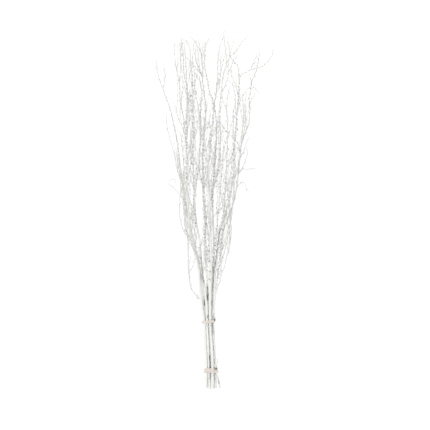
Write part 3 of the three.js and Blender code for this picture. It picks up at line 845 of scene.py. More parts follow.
def nodes_of(shoot, draws):
    """Where its buds sit, as distances along it, each with an angle round it."""
    spacing = FINENESS[shoot.kind].bud_spacing
    if not spacing:
        return []
    if shoot.kind == "twig":
        bends = shoot.lengths[1:-1]
        rows = [(i + 1) % TWIG_ROWS for i in range(len(bends))]
        nodes = [(bend, math.tau * row / TWIG_ROWS) for bend, row in zip(bends, rows)]
        between = [(low + high) / 2 for low, high in zip(bends, [*bends[1:], shoot.whole])]
        nodes += [(distance, draws() * math.tau) for distance in between]
        return sorted(nodes)
    distance = shoot.buried + FIRST_NODE * draws.between(*FIRST_NODE_CHANGE)
    if shoot.kind == "stem":
        thin_from = np.interp(-BUDS_BELOW_RADIUS, -shoot.radii, shoot.lengths)
        distance = max(thin_from, shoot.distance_at_height(BARE_BELOW_Y))
    angle = draws() * math.tau
    nodes = []
    while distance < shoot.whole - LAST_NODE:
        nodes.append((distance, angle))
        distance += spacing * draws.between(*SPACING_CHANGE)
        angle += GOLDEN_ANGLE + draws.between(*TURN_CHANGE)
    return nodes


def pores_of(shoot, draws):
    """Raised pores across the bark of thicker wood, as (distance, angle, half width, height)."""
    pores = []
    last = np.interp(-PORES_ABOVE_RADIUS, -shoot.radii, shoot.lengths)
    distance = shoot.buried + draws.between(*PORE_SPACING)
    while distance < min(last, shoot.whole - LAST_NODE):
        angle = draws() * math.tau
        pores.append((distance, angle, draws.between(*PORE_WIDTH), draws.between(*PORE_HEIGHT)))
        distance += draws.between(*PORE_SPACING)
    return pores


def ring_distances(shoot, nodes, pores):
    """Where a shoot's rings go: evenly, closer at its root, and at each side of a node or pore."""
    step = FINENESS[shoot.kind].step
    root_end = min(shoot.buried + ROOT_RINGS_OVER * FLARE_LENGTH * shoot.root_radius, shoot.whole)
    near_root = np.arange(shoot.buried * ROOT_RINGS_FROM, root_end, step / ROOT_RINGS_CLOSER)
    even = np.arange(root_end, shoot.whole, step)
    at_nodes = [node + offset for node, _ in nodes for offset in (-NODE_REACH, 0, NODE_REACH)]
    at_pores = [pore[0] + offset for pore in pores for offset in (-PORE_LENGTH, 0, PORE_LENGTH)]
    distances = np.concatenate((near_root if shoot.host else [], even, at_nodes, at_pores))
    distances = np.sort(distances[(distances > LEAST_RING_GAP) & (distances < shoot.whole - LEAST_RING_GAP)])
    kept = [0.0]
    for distance in distances:
        if distance - kept[-1] > LEAST_RING_GAP:
            kept.append(distance)
    return np.array([*kept, shoot.whole])


def ring_radii(shoot, distances, nodes):
    """Its radius at each ring, with the flare at its root and the swelling at its nodes."""
    radii = shoot.root_radius + (shoot.tip_radius - shoot.root_radius) * distances / shoot.whole
    for node, _ in nodes:
        radii = radii * (1 + NODE_SWELL * np.exp(-(((distances - node) / NODE_REACH) ** 2)))
    if shoot.host:
        outside = np.maximum(distances - shoot.buried, 0)
        radii = radii * (1 + FLARE * np.exp(-outside / (FLARE_LENGTH * shoot.root_radius)))
        beyond = np.maximum(distances - STAY_INSIDE_OVER * shoot.buried, 0)
        radii = np.minimum(radii, shoot.host_radius * STAY_INSIDE + beyond)
    return radii


def bark_relief(distances, radii, corners, pores, draws):
    """How much the skin stands out at each ring and corner."""
    angles = np.arange(corners) * math.tau / corners
    relief = np.zeros((len(distances), corners))
    for turns, share, shortest, longest in BARK_WAVES:
        wave = draws.between(shortest, longest) / math.tau
        phase = draws() * math.tau
        relief += share * np.sin(turns * angles[None] + distances[:, None] / wave + phase)
    relief *= radii[:, None]
    for distance, angle, width, height in pores:
        turn = np.abs((angles - angle + math.pi) % math.tau - math.pi)
        across_it = np.clip(1 - (turn / width) ** 2, 0, None)
        along_it = np.clip(1 - np.abs(distances - distance) / PORE_LENGTH, 0, None)
        relief += height * np.outer(along_it, across_it)
    return relief


# A tube to be made: its points, the radius at each, what is kept at each, which is the share of paint on
# wood and the distance along it on twine, and its relief
Tube = namedtuple("Tube", "points radii kept relief")


def shelter(points):
    """How far inside the bunch points are, from 0, at its sides or its top, to 1."""
    heights, left, right = np.array(SIDES).T
    x, y = points[..., 0], points[..., 1]
    within = np.minimum(x - np.interp(y, heights, left), np.interp(y, heights, right) - x)
    return np.clip(np.minimum(within / SHELTER_DEPTH, (TOP_Y - y) / SHELTER_FROM_TOP), 0, 1)


def node_coat(coat, inside):
    """How much paint is on a node or bud this far inside."""
    return OUTER_NODE_COAT + (coat - OUTER_NODE_COAT) * inside


def shoot_tube(shoot, nodes, wood, draws):
    """A shoot as a tube, with its nodes, its bark and the paint that has stayed on it."""
    corners = FINENESS[shoot.kind].corners
    pores = pores_of(shoot, draws) if shoot.kind in ("stem", "limb") else []
    distances = ring_distances(shoot, nodes, pores)
    radii = ring_radii(shoot, distances, nodes)
    points = fine_line(shoot, distances)
    points[:, 2] = np.maximum(points[:, 2], radii - PRESS)
    inside = shelter(points)
    coat = np.minimum(np.interp(radii, COAT_RADII, COAT_SHARES) + INNER_COAT * inside, 1)
    for node, _ in nodes:
        near = np.exp(-(((distances - node) / NODE_REACH) ** 2))
        coat = coat * (1 - near) + node_coat(NODE_COAT[shoot.kind], inside) * near
    relief = bark_relief(distances, radii, corners, pores, draws) * wood.bark_relief
    return Tube(points, radii, coat, relief)


# Blender helpers

# The angle in degrees past which an edge is shaded as sharp
BARK_CREASE = 50
TWINE_CREASE = 80


def select_only(*objects):
    """Selects these objects alone, and makes the first one active."""
    bpy.ops.object.select_all(action="DESELECT")
    for item in objects:
        item.select_set(True)
    bpy.context.view_layer.objects.active = objects[0]


def positions(mesh):
    points = np.empty(len(mesh.vertices) * 3)
    mesh.vertices.foreach_get("co", points)
    return points.reshape(-1, 3)


def set_positions(mesh, points):
    mesh.vertices.foreach_set("co", points.ravel())
    mesh.update()


def set_shares(mesh, name, values):
    """Keeps a number for each vertex, which the material reads by its name."""
    attribute = mesh.attributes.get(name) or mesh.attributes.new(name, "FLOAT", "POINT")
    attribute.data.foreach_set("value", np.asarray(values, np.float32))


def edit_faces(piece, chosen):
    """Goes into edit mode with these faces alone selected."""
    select_only(piece)
    bpy.ops.object.mode_set(mode="EDIT")
    bpy.ops.mesh.select_mode(type="FACE")
    bpy.ops.mesh.select_all(action="DESELECT")
    bpy.ops.object.mode_set(mode="OBJECT")
    piece.data.polygons.foreach_set("select", chosen)
    bpy.ops.object.mode_set(mode="EDIT")


def crowding(points, crowd):
    """How crowded each point is by the others' wood, from 0, free, to 1, touching it."""
    middles, radii = crowd.middles, crowd.radii
    crowded = np.zeros(len(points))
    for start in range(0, len(points), CROWD_CHUNK):
        chunk = points[start:start + CROWD_CHUNK]
        reach = radii.max() + CROWD_LOOK * CROWD_GAP
        near = np.all((middles > chunk.min(0) - reach) & (middles < chunk.max(0) + reach), axis=1)
        if near.any():
            gaps = np.linalg.norm(chunk[:, None] - middles[near][None], axis=2) - radii[near][None]
            crowded[start:start + CROWD_CHUNK] = np.exp(-np.clip(gaps.min(1), 0, None) / CROWD_GAP)
    return crowded


def darken_stretch(coat, heights, facing, dark_stretch):
    """Darkens what lies in a dark stretch and faces the way that it does: partly missed paint, partly painted
    shade.
    """
    turn = math.radians(dark_stretch.turn)
    middle = np.array([math.sin(turn), 0, math.cos(turn)])
    turned = np.clip((facing @ middle - DARK_STRETCH_FROM) / DARK_STRETCH_WITHIN, 0, 1)
    inside = np.clip(np.minimum(heights - dark_stretch.low, dark_stretch.high - heights) / DARK_STRETCH_FADE, 0, 1)
    bare = turned * inside
    return coat * (1 - bare) + dark_stretch.coat * bare


def make_tubes(name, tubes, corners, crowd=None, stretches=()):
    """Closed tubes as one mesh: curves with a bevel, converted, given their relief, paint and painted
    shade, and capped.
    """
    bpy.ops.curve.primitive_nurbs_path_add(location=(0, 0, 0))
    drawn = bpy.context.object
    drawn.name = name
    line = drawn.data
    line.splines.clear()
    line.dimensions = "3D"
    line.twist_mode = "MINIMUM"
    line.bevel_depth = 1
    line.bevel_resolution = (corners - 4) // 2
    for tube in tubes:
        spline = line.splines.new("POLY")
        count = len(tube.points)
        spline.points.add(count - 1)
        spline.points.foreach_set("co", np.column_stack((tube.points * MM, np.ones(count))).ravel())
        spline.points.foreach_set("radius", tube.radii * MM)
    select_only(drawn)
    bpy.ops.object.convert(target="MESH")
    made = bpy.context.object
    made.data.name = name
    points = positions(made.data)
    facing = np.zeros(points.shape)
    start = 0
    for tube in tubes:
        count = len(tube.points) * corners
        skin = points[start:start + count].reshape(-1, corners, 3)
        outward = skin - tube.points[:, None] * MM
        outward /= np.linalg.norm(outward, axis=2, keepdims=True)
        skin += outward * tube.relief[..., None] * MM
        facing[start:start + count] = outward.reshape(-1, 3)
        start += count
    points[:, 2] = np.maximum(points[:, 2], 0)
    set_positions(made.data, points)
    coat = np.concatenate([np.repeat(tube.kept, corners) for tube in tubes])
    # Painted shade where wood is crowded by other branches' wood, and painted light there on branches set
    # above a full coat
    if crowd:
        crowded = crowding(points / MM, crowd)
        left = crowd.coat + CROWD_CHANGE * np.sin(points[:, 1] / MM / crowd.wave + crowd.phase)
        coat = coat * (1 - crowded) + left * crowded
    # Dark stretches: partly paint that the brush missed, partly painted shade between the stems
    for dark_stretch in stretches:
        coat = darken_stretch(coat, points[:, 1] / MM, facing, dark_stretch)
    set_shares(made.data, "coat", coat)
    bpy.ops.object.mode_set(mode="EDIT")
    bpy.ops.mesh.select_all(action="SELECT")
    bpy.ops.mesh.fill_holes(sides=0)
    bpy.ops.mesh.normals_make_consistent(inside=False)
    bpy.ops.object.mode_set(mode="OBJECT")
    return made


def fuse(whole, parts):
    """Joins parts to a whole, as one skin, and removes them."""
    grown = bpy.data.collections.new("grown_on")
    bpy.context.scene.collection.children.link(grown)
    for part in parts:
        for home in list(part.users_collection):
            home.objects.unlink(part)
        grown.objects.link(part)
    select_only(whole)
    union = whole.modifiers.new("fuse", "BOOLEAN")
    union.operation = "UNION"
    union.operand_type = "COLLECTION"
    union.collection = grown
    union.solver = "MANIFOLD"
    faces = len(whole.data.polygons)
    bpy.ops.object.modifier_apply(modifier=union.name)
    if len(whole.data.polygons) <= faces:
        raise RuntimeError(f"{whole.name}: its shoots didn't fuse")
    for part in parts:
        bpy.data.objects.remove(part)
    bpy.data.collections.remove(grown)


def finish_piece(piece, name, material, replaced, crease=BARK_CREASE):
    """Names a finished piece, gives it its material, and ties it to the frame."""
    piece.name = name
    piece.data.name = name
    piece.data.materials.clear()
    piece.data.materials.append(material)
    select_only(piece)
    bpy.ops.object.shade_smooth_by_angle(angle=math.radians(crease))
    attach(piece, "root")
    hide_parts(replaced)


# Branches


def bud_form():
    """One pointed bud, a unit long from its seat to its tip: a ball drawn out, with a narrow top."""
    bpy.ops.mesh.primitive_uv_sphere_add(
        segments=BUD_SIDES, ring_count=BUD_SIDES, radius=0.5, location=(0, 0, 0)
    )
    bud = bpy.context.object
    mesh = bud.data
    edit_faces(bud, np.ones(len(mesh.polygons), bool))
    bpy.ops.transform.resize(value=(BUD_WIDTH, BUD_WIDTH, 1))
    bpy.ops.object.mode_set(mode="OBJECT")
    edit_faces(bud, np.array([face.center.z > BUD_TOP_FROM for face in mesh.polygons]))
    bpy.ops.transform.resize(value=(BUD_TOP, BUD_TOP, 1), center_override=(0, 0, 0))
    bpy.ops.object.mode_set(mode="OBJECT")
    points = positions(mesh)
    points[:, 2] += 0.5
    set_positions(mesh, points)
    return bud


def place_bud(form, point, axis, length, coat):
    """A copy of the bud, seated at a point and pointing along an axis."""
    turned = Vector(axis).to_track_quat("Z", "Y").to_matrix().to_4x4()
    mesh = form.data.copy()
    mesh.transform(Matrix.Translation(Vector(point * MM)) @ turned @ Matrix.Scale(length * MM, 4))
    set_shares(mesh, "coat", np.full(len(mesh.vertices), coat))
    bud = bpy.data.objects.new("bud", mesh)
    bpy.context.scene.collection.objects.link(bud)
    return bud


def seat_buds(shoot, nodes, form, size, draws):
    """Buds at a shoot's tip and at its nodes, apart from those that would reach the surface.

    Some nodes of stems and limbs have a spur, with the bud at its end. The spurs are returned too.
    """
    buds, spurs = [], []
    coat = BUD_COAT[shoot.kind]
    for distance, angle in nodes:
        point, ahead, side, lift = direction_along(shoot, distance)
        outward = side * math.sin(angle) + lift * math.cos(angle)
        lean = draws.between(*BUD_LEAN)
        axis = ahead * math.cos(lean) + outward * math.sin(lean)
        radius = float(np.interp(distance, [0, shoot.whole], [shoot.root_radius, shoot.tip_radius]))
        seat = point + outward * radius * BUD_SEAT
        if shoot.kind in ("stem", "limb") and draws() < SPUR_SHARE:
            end = seat + axis * draws.between(*SPUR_LENGTH)
            spur = Shoot([seat, (seat + end) / 2, end], *SPUR_RADII, "spur")
            give_wander(spur, draws)
            spurs.append(spur)
            seat = end - axis * SPUR_END
        length = draws.between(*BUD_LENGTH[shoot.kind]) * size
        if seat[2] > length / 2:
            buds.append(place_bud(form, seat, axis, length, node_coat(coat, shelter(seat))))
    point, ahead, _, _ = direction_along(shoot, shoot.whole)
    length = draws.between(*BUD_LENGTH[shoot.kind]) * size
    seat = point - ahead * length * TIP_BUD_SEAT
    buds.append(place_bud(form, seat, ahead, length, node_coat(coat, shelter(seat))))
    return buds, spurs


def cut_end(piece, butt, radius, ahead):
    """Makes the sawn end of a stem: a worn rim, then growth rings in low steps down to the pith."""
    faces = piece.data.polygons
    flat = np.array([face.normal.dot(Vector(ahead)) < FACES_BACK for face in faces])
    near = np.array([(face.center - Vector(butt * MM)).length < radius * MM for face in faces])
    edit_faces(piece, flat & near)
    bpy.ops.mesh.inset(thickness=radius * RIM_WIDTH * MM, depth=radius * RIM_HEIGHT * MM)
    for _ in range(GROWTH_RINGS):
        for width, step in zip(RING_WIDTHS, RING_STEPS):
            bpy.ops.mesh.inset(thickness=radius * width * MM, depth=step * MM)
    bpy.ops.mesh.poke()
    bpy.ops.object.mode_set(mode="OBJECT")
    points = positions(piece.data) - butt * MM
    along = points @ ahead
    out = np.linalg.norm(points - np.outer(along, ahead), axis=1) / MM
    sawn = (along < -radius * SAWN_FROM * MM) & (out < radius)
    set_shares(piece.data, "wood", np.where(sawn, 1, 0))
    set_shares(piece.data, "pith", np.where(sawn, out, 0))


def crowd_round(bunch, branch, draws):
    """The stems and limbs of the other branches, and the paint that a branch is given beside them:
    painted shade between the branches on some, painted light in the crevices on others.
    """
    middles, radii = [], []
    for number, shoots in enumerate(bunch):
        if number == branch:
            continue
        for shoot in shoots:
            if shoot.kind in ("stem", "limb"):
                distances = np.arange(0, shoot.whole, CROWD_STEP)
                middles.append(fine_line(shoot, distances))
                radii.append(shoot.at(distances)[1])
    wave = draws.between(*CROWD_WAVE) / math.tau
    coat = CROWD_SHADE_AND_LIGHT[BRANCHES[branch].name]
    return Crowd(np.vstack(middles), np.concatenate(radii), coat, wave, draws() * math.tau)


def build_branch(branch, shoots, crowd, form, wood, material, draws):
    """One branch: its shoots as tubes, its buds and spurs, all fused into one skin."""
    groups = {}
    buds = []
    for shoot in shoots:
        nodes = nodes_of(shoot, draws)
        groups.setdefault((shoot.kind, shoot.level), []).append(shoot_tube(shoot, nodes, wood, draws))
        seated, spurs = seat_buds(shoot, nodes, form, wood.bud_size, draws)
        buds += seated
        for spur in spurs:
            groups.setdefault(("spur", 0), []).append(shoot_tube(spur, [], wood, draws))
    made = {}
    for (kind, level), tubes in groups.items():
        # Stems and limbs take painted shade and light by the other branches, and stems the dark stretches too
        near = crowd if kind in ("stem", "limb") else None
        stretches = DARK_STRETCHES.get(branch.name, ()) if kind == "stem" else ()
        made[kind, level] = make_tubes(f"{kind}_{level}", tubes, FINENESS[kind].corners, near, stretches)
    select_only(*buds)
    bpy.ops.object.join()
    stem = made.pop(("stem", 0))
    fuse(stem, [*made.values(), buds[0]])
    values = np.empty(len(stem.data.vertices), np.float32)
    stem.data.attributes["coat"].data.foreach_get("value", values)
    set_shares(stem.data, "coat", np.where(values == 0, CROTCH_COAT, values))
    _, _, ahead = shoots[0].at(np.array(0.0))
    cut_end(stem, shoots[0].points[0], branch.butt, ahead)
    finish_piece(stem, branch.name + "_bark", material, branch.name)


# Ties

# Twine: strands laid round each other, how closely, and the step between their rings. Its way round the
# stems is found from dots round each, with room to the wood, at so many bearings
STRANDS = 3
STRAND_CORNERS = 8
STRAND_CROWD = 0.98
CORD_STEP = 0.9
HULL_DOTS = 48
HULL_ROOM = 0.15
BEARINGS = 180
TIE_SEED = 5150

# The fibre pattern: its length in millimetres for each unit, and how far it is shifted on each strand.
# Its first sideways direction is square to one this far off straight up
LAY_SCALE = 6
LAY_SHIFT = 7
OFF_UP = 0.1

# Knots: the points of a simple knot's path, and its size as a share of the knot's, so that its turns
# crowd. The painted shade in a knot's hollows has its middle a little above, and reaches so many halves of
# the knot's size
KNOT_STEPS = 90
KNOT_SHARE = 0.6
KNOT_DARK_ABOVE = 1
KNOT_DARK_REACH = 2.2

# Frayed ends: how long, how far the strands spread and thin, and the loose fibres there
FRAY_LENGTH = 5
FRAY_SPREAD = 1.5
FRAY_THIN = 0.35
END_FIBRES = 16
END_FIBRE_LENGTH = (2.5, 6)
END_FIBRE_FROM = 0.5
END_FIBRE_LEAN = (0.05, 0.5)

# Loose fibres: sizes, how they thin off point by point and curl, where in the twine's radius they start,
# how much they stand off, and the gap from one to the next along the twine
FIBRE_RADIUS = (0.045, 0.09)
FIBRE_LENGTH = (1.6, 4.6)
FIBRE_CORNERS = 4
FIBRE_TAPER = [1, 1, 0.9, 0.75, 0.5]
FIBRE_CURL = 0.35
FIBRE_ROOT = 0.8
FIBRE_LEAN = (0.3, 1)
FIBRE_GAP = 2.6

# A tie: its height, its turns and how much they rise to the right, its knots as (centre, size), its loops,
# and its loose ends
Tie = namedtuple("Tie", "name height turns slant knots loops ends")
TIES = [
    Tie(
        "tie_lower",
        TIE_LOWER_Y,
        TURNS_LOWER,
        0,
        [([14.2, 5.4, 17.8], [6.4, 6, 4.8])],
        [
            [
                [13, 5, 18.6], [9.5, 12, 21.6], [6.5, 24, 22.4], [6.6, 34, 22.2], [9.5, 36, 22],
                [11, 27, 21.6], [12, 14, 20.6], [13.6, 5, 18.4],
            ],
            [
                [14, 5, 18.2], [14, 14, 20.2], [13.4, 24, 21], [15, 31, 20.6], [17.6, 29, 19.6],
                [17.6, 19, 18.8], [16, 10, 18.4], [14.6, 5, 17.8],
            ],
        ],
        [
            [[5.6, -1.6, 21.6], [6.2, -9, 21.9], [5.2, -16, 21.6]],
            [[-19, -1, 11], [-19.8, -5, 9.8], [-19.2, -10, 8.4]],
        ],
    ),
    Tie(
        "tie_upper",
        TIE_UPPER_Y,
        TURNS_UPPER,
        SLANT_UPPER,
        [([10.6, 140.4, 12.6], [5, 5.6, 5])],
        [[[-18, 134, 19.4], [-13.6, 126, 19.8], [-8.4, 121, 19.4], [-3.6, 125, 20.4], [-1.4, 134, 20.6]]],
        [[[10.4, 141, 12.8], [11, 146, 14], [10, 151, 15.4]]],
    ),
]


def turn(a, b, c):
    return (b[0] - a[0]) * (c[1] - a[1]) - (b[1] - a[1]) * (c[0] - a[0])


def tight_outline(dots):
    """The corners of the tight outline round some points."""
    ordered = sorted(map(tuple, dots))

    def half(points):
        chain = []
        for dot in points:
            while len(chain) > 1 and turn(chain[-2], chain[-1], dot) <= 0:
                chain.pop()
            chain.append(dot)
        return chain[:-1]

    return np.array(half(ordered) + half(ordered[::-1]))


def reach_round(stems, height, margin, bearings):
    """How far from the middle of the stems the twine runs, at each bearing, and that middle."""
    angles = np.arange(HULL_DOTS) * math.tau / HULL_DOTS
    ring = np.column_stack((np.cos(angles), np.sin(angles)))
    dots, middles = [], []
    for stem in stems:
        point, radius, _ = stem.at(stem.distance_at_height(height))
        middles.append(point[[0, 2]])
        dots.append(point[[0, 2]] + ring * (radius + margin))
    middle = np.mean(middles, axis=0)
    corners = tight_outline(np.vstack(dots)) - middle
    following = np.roll(corners, -1, axis=0)
    reaches = []
    for bearing in bearings:
        heading = np.array([math.cos(bearing), math.sin(bearing)])
        start = np.cross(heading, corners)
        end = np.cross(heading, following)
        i = np.flatnonzero((start <= 0) & (end > 0))[0]
        share = start[i] / (start[i] - end[i])
        reaches.append(np.dot(corners[i] + (following[i] - corners[i]) * share, heading))
    return np.array(reaches), middle


def wound_line(stems, tie, twine):
    """The line of the twine as it winds round the stems, turn beside turn."""
    turns = np.arange(tie.turns * BEARINGS + 1) / BEARINGS
    heights = tie.height + (turns - tie.turns / 2) * twine.pitch
    bearings = np.arange(BEARINGS) * math.tau / BEARINGS
    lowest = reach_round(stems, heights[0], twine.radius + HULL_ROOM, bearings)
    highest = reach_round(stems, heights[-1], twine.radius + HULL_ROOM, bearings)
    points = []
    for i, each in enumerate(heights):
        share = i / (len(heights) - 1)
        reach = lowest[0][i % BEARINGS] * (1 - share) + highest[0][i % BEARINGS] * share
        middle = lowest[1] * (1 - share) + highest[1] * share
        bearing = bearings[i % BEARINGS]
        x = middle[0] + reach * math.cos(bearing)
        points.append([x, each + tie.slant * x, middle[1] + reach * math.sin(bearing)])
    return np.array(points)


def knot_line(centre, size):
    """The line of a simple knot, its turns crowded together into the size that it has."""
    t = np.linspace(0, math.tau, KNOT_STEPS)
    line = np.column_stack((np.sin(t) + 2 * np.sin(2 * t), np.cos(t) - 2 * np.cos(2 * t), -np.sin(3 * t)))
    line /= np.abs(line).max(axis=0)
    return np.array(centre) + line * np.array(size) / 2 * KNOT_SHARE


def evenly(points, step):
    """The same line with points a step apart, through a smooth curve."""
    line = Shoot(points, 0.0, 0.0, "cord")
    count = max(3, round(line.whole / step))
    distances = line.whole * np.arange(count + 1) / count
    return line.smooth_at(distances), distances


def frames_along(points):
    """Two directions square to a line at each of its points, turning as little as they can."""
    ahead = np.gradient(points, axis=0)
    ahead /= np.linalg.norm(ahead, axis=1, keepdims=True)
    side = unit(np.cross(ahead[0], UP + GROWTH * OFF_UP))
    sides = []
    for heading in ahead:
        side = unit(side - heading * np.dot(side, heading))
        sides.append(side)
    sides = np.array(sides)
    return sides, np.cross(sides, ahead)


def strands(points, twine, frayed, lowest):
    """The strands of a length of twine as tubes. A frayed one comes apart at its far end."""
    points, distances = evenly(points, CORD_STEP)
    points[:, 2] = np.maximum(points[:, 2], lowest)
    sides, lifts = frames_along(points)
    spread = np.ones(len(points))
    thin = np.ones(len(points))
    if frayed:
        near_end = np.clip((distances - distances[-1] + FRAY_LENGTH) / FRAY_LENGTH, 0, 1) ** 2
        spread += near_end * (FRAY_SPREAD - 1)
        thin -= near_end * (1 - FRAY_THIN)
    made = []
    for strand in range(STRANDS):
        turned = distances / twine.lay * math.tau + strand * math.tau / STRANDS
        out = sides * np.cos(turned)[:, None] + lifts * np.sin(turned)[:, None]
        line = points + out * (twine.offset * spread)[:, None]
        radii = twine.strand * thin
        made.append(Tube(line, radii, distances, np.zeros((len(line), STRAND_CORNERS))))
    return made


def fibre(start, heading, length, draws):
    """A loose fibre that curls away from where it leaves the twine."""
    curl = np.array([draws.between(-1, 1) for _ in range(3)])
    count = len(FIBRE_TAPER)
    points = [start]
    for _ in range(count - 1):
        points.append(points[-1] + heading * length / (count - 1))
        heading = unit(heading + curl * FIBRE_CURL)
    points = np.array(points)
    points[:, 2] = np.maximum(points[:, 2], FIBRE_RADIUS[1])
    radii = draws.between(*FIBRE_RADIUS) * np.array(FIBRE_TAPER)
    return Tube(points, radii, np.linspace(0, length, count), np.zeros((count, FIBRE_CORNERS)))


def loose_fibres(line, twine, draws):
    """Fibres that stand off along a length of twine."""
    points, distances = evenly(line, FIBRE_GAP)
    sides, lifts = frames_along(points)
    made = []
    for i in range(len(points) - 1):
        angle = draws() * math.tau
        out = sides[i] * math.cos(angle) + lifts[i] * math.sin(angle)
        along = unit(points[i + 1] - points[i]) * (1 if draws() < 0.5 else -1)
        heading = unit(out * draws.between(*FIBRE_LEAN) + along)
        start = points[i] + out * twine.radius * FIBRE_ROOT
        made.append(fibre(start, heading, draws.between(*FIBRE_LENGTH), draws))
    return made


def end_fibres(line, twine, draws):
    """The tuft at a cut end."""
    end = np.array(line[-1], float)
    ahead = unit(end - np.array(line[-2], float))
    side, lift = across(ahead)
    made = []
    for _ in range(END_FIBRES):
        angle = draws() * math.tau
        out = side * math.cos(angle) + lift * math.sin(angle)
        start = end - ahead * draws.between(END_FIBRE_FROM, FRAY_LENGTH)
        start = start + out * twine.radius * draws() * FIBRE_ROOT
        heading = unit(ahead + out * draws.between(*END_FIBRE_LEAN))
        made.append(fibre(start, heading, draws.between(*END_FIBRE_LENGTH), draws))
    return made


def set_lay(mesh, tubes, corners):
    """Gives each vertex its place along and round its strand, which the fibre pattern follows."""
    angles = np.arange(corners) * math.tau / corners
    places = []
    for number, tube in enumerate(tubes):
        along = np.repeat(tube.kept / LAY_SCALE + number * LAY_SHIFT, corners)
        turned = np.tile(angles, len(tube.points))
        places.append(np.column_stack((along, np.cos(turned), np.sin(turned))))
    attribute = mesh.attributes.new("lay", "FLOAT_VECTOR", "POINT")
    attribute.data.foreach_set("vector", np.vstack(places).astype(np.float32).ravel())


# The twine: its outer radius, its strands' radius and distance from its middle, its lay, and its turns' pitch
Twine = namedtuple("Twine", "radius strand offset lay pitch")


def wind_tie(tie, stems, twine, material):
    """A tie: its turns, its knot, its loops and its loose ends, with their fibres."""
    draws = Draws(TIE_SEED + tie.height)
    lowest = twine.radius - PRESS
    turns = wound_line(stems, tie, twine)
    tubes = strands(turns, twine, False, lowest)
    fibres = loose_fibres(turns, twine, draws)
    for centre, size in tie.knots:
        tubes += strands(knot_line(centre, size), twine, False, lowest)
    bare = sum(len(tube.points) for tube in tubes)
    for route in tie.loops:
        tubes += strands(route, twine, False, lowest)
        fibres += loose_fibres(route, twine, draws)
    looped = sum(len(tube.points) for tube in tubes)
    for route in tie.ends:
        tubes += strands(route, twine, True, lowest)
        fibres += loose_fibres(route, twine, draws) + end_fibres(route, twine, draws)
    wound = make_tubes(tie.name, tubes, STRAND_CORNERS)
    set_lay(wound.data, tubes, STRAND_CORNERS)
    dusted = np.zeros(len(wound.data.vertices))
    dusted[bare * STRAND_CORNERS:looped * STRAND_CORNERS] = 1
    set_shares(wound.data, "dusted", dusted)
    fuzz = make_tubes(tie.name + "_fibres", fibres, FIBRE_CORNERS)
    set_lay(fuzz.data, fibres, FIBRE_CORNERS)
    select_only(wound, fuzz)
    bpy.ops.object.join()
    points = positions(wound.data)
    # Painted shade in the hollows of each knot, darkest a little above its middle
    dark = np.zeros(len(points))
    for centre, size in tie.knots:
        darkest = np.array(centre) + GROWTH * KNOT_DARK_ABOVE
        away = np.linalg.norm((points / MM - darkest) / (np.array(size) / 2), axis=1)
        dark = np.maximum(dark, np.clip(KNOT_DARK_REACH - away, 0, 1))
    set_shares(wound.data, "knot_shade", dark)
    finish_piece(wound, tie.name + "_twine", material, tie.name, TWINE_CREASE)


# Materials

# A pattern of noise: its stretch in each direction, its features to a millimetre, or to a unit of the twine's
# lay, its detail and its roughness
Pattern = namedtuple("Pattern", "stretch scale detail roughness", defaults=(0.5,))
STREAKS = Pattern((1, 0.14, 1), 0.9, 6, 0.62)
BLOTCHES = Pattern((1, 0.5, 1), 0.16, 3)
GRAIN = Pattern((1, 0.25, 1), 3.2, 5, 0.6)
BANDS = Pattern((0.16, 1, 0.16), 1.3, 4, 0.55)
FIBRES = Pattern((1, 3.2, 3.2), 1.4, 5, 0.65)
PATCHES = Pattern((1, 1, 1), 0.35, 2)

# Paint: the range of the streaks, with a share of the blotches, in which it wears through, the range and the
# share in which bands across the bark do, and the range and the share in which blotches grey it
WORN_THROUGH = (0.84, 0.96)
BLOTCHES_WEAR = 0.35
BANDS_WEAR = (0.62, 0.7)
BANDS_BARE = 0.55
GREYED = (0.35, 0.7)
GREYED_SHARE = 0.45

# Bark and sawn wood: the range of the grain from its dark to its pale, the shares of their colours in the
# dark, the rings to a millimetre in radians, how much the grain disturbs them, and where their dark lies
BARK_GRAIN = (0.35, 0.65)
DARK_BARK = 0.5
LATE_WOOD = 0.72
RINGS_TO_MM = 7.5
RINGS_GRAIN = 5
LATE_RINGS = (1, 4.5)

# Twine: the range of the fibres from dark to pale, how much paler patches are and where, and the ranges of
# the fibres in which knots take their painted shade and loops are dusted, with how much they are at least and
# at most
TWINE_FIBRES = (0.36, 0.66)
PALER = 1.22
PALE_PATCHES = (0.45, 0.7)
PALE_SHARE = 0.6
CLEAR_FIBRES = (0.3, 0.6)
KNOTS_DARK = (0.7, 1)
LOOPS_DUSTED = (0.5, 0.95)

# Surfaces: roughness from painted to bare, the bumps' strength and height in millimetres with the streaks'
# and the grain's shares of them, and each shader's other sockets
BARK_ROUGHNESS = (0.68, 0.9)
BARK_BUMP = (0.55, 0.14)
STREAKS_BUMP = 0.9
GRAIN_BUMP = 0.5
TWINE_BUMP = (0.6, 0.12)
BARK_SURFACE = {"Specular IOR Level": 0.3}
TWINE_SURFACE = {"Roughness": 0.92, "Specular IOR Level": 0.2, "Sheen Weight": 0.25, "Sheen Roughness": 0.6}
FLOOR_SURFACE = {"Roughness": 0.9, "Specular IOR Level": 0.1}


def add_node(tree, kind, inputs=None, **settings):
    """A shader node with its settings, and its inputs given as values or as sockets to link from."""
    made = tree.nodes.new("ShaderNode" + kind)
    for name, value in settings.items():
        setattr(made, name, value)
    for name, value in (inputs or {}).items():
        if isinstance(value, bpy.types.NodeSocket):
            tree.links.new(value, made.inputs[name])
        else:
            made.inputs[name].default_value = value
    return made


def opaque(colour):
    return (*colour, 1.0)


def darker(colour, share):
    return opaque(each * share for each in colour)


def new_material(name, surface):
    """A material with only its surface shader, with these of its sockets set, its tree and that shader."""
    material = bpy.data.materials.new(name)
    material.use_nodes = True
    tree = material.node_tree
    shader = next(node for node in tree.nodes if node.type == "BSDF_PRINCIPLED")
    for socket, value in surface.items():
        shader.inputs[socket].default_value = value
    return material, tree, shader


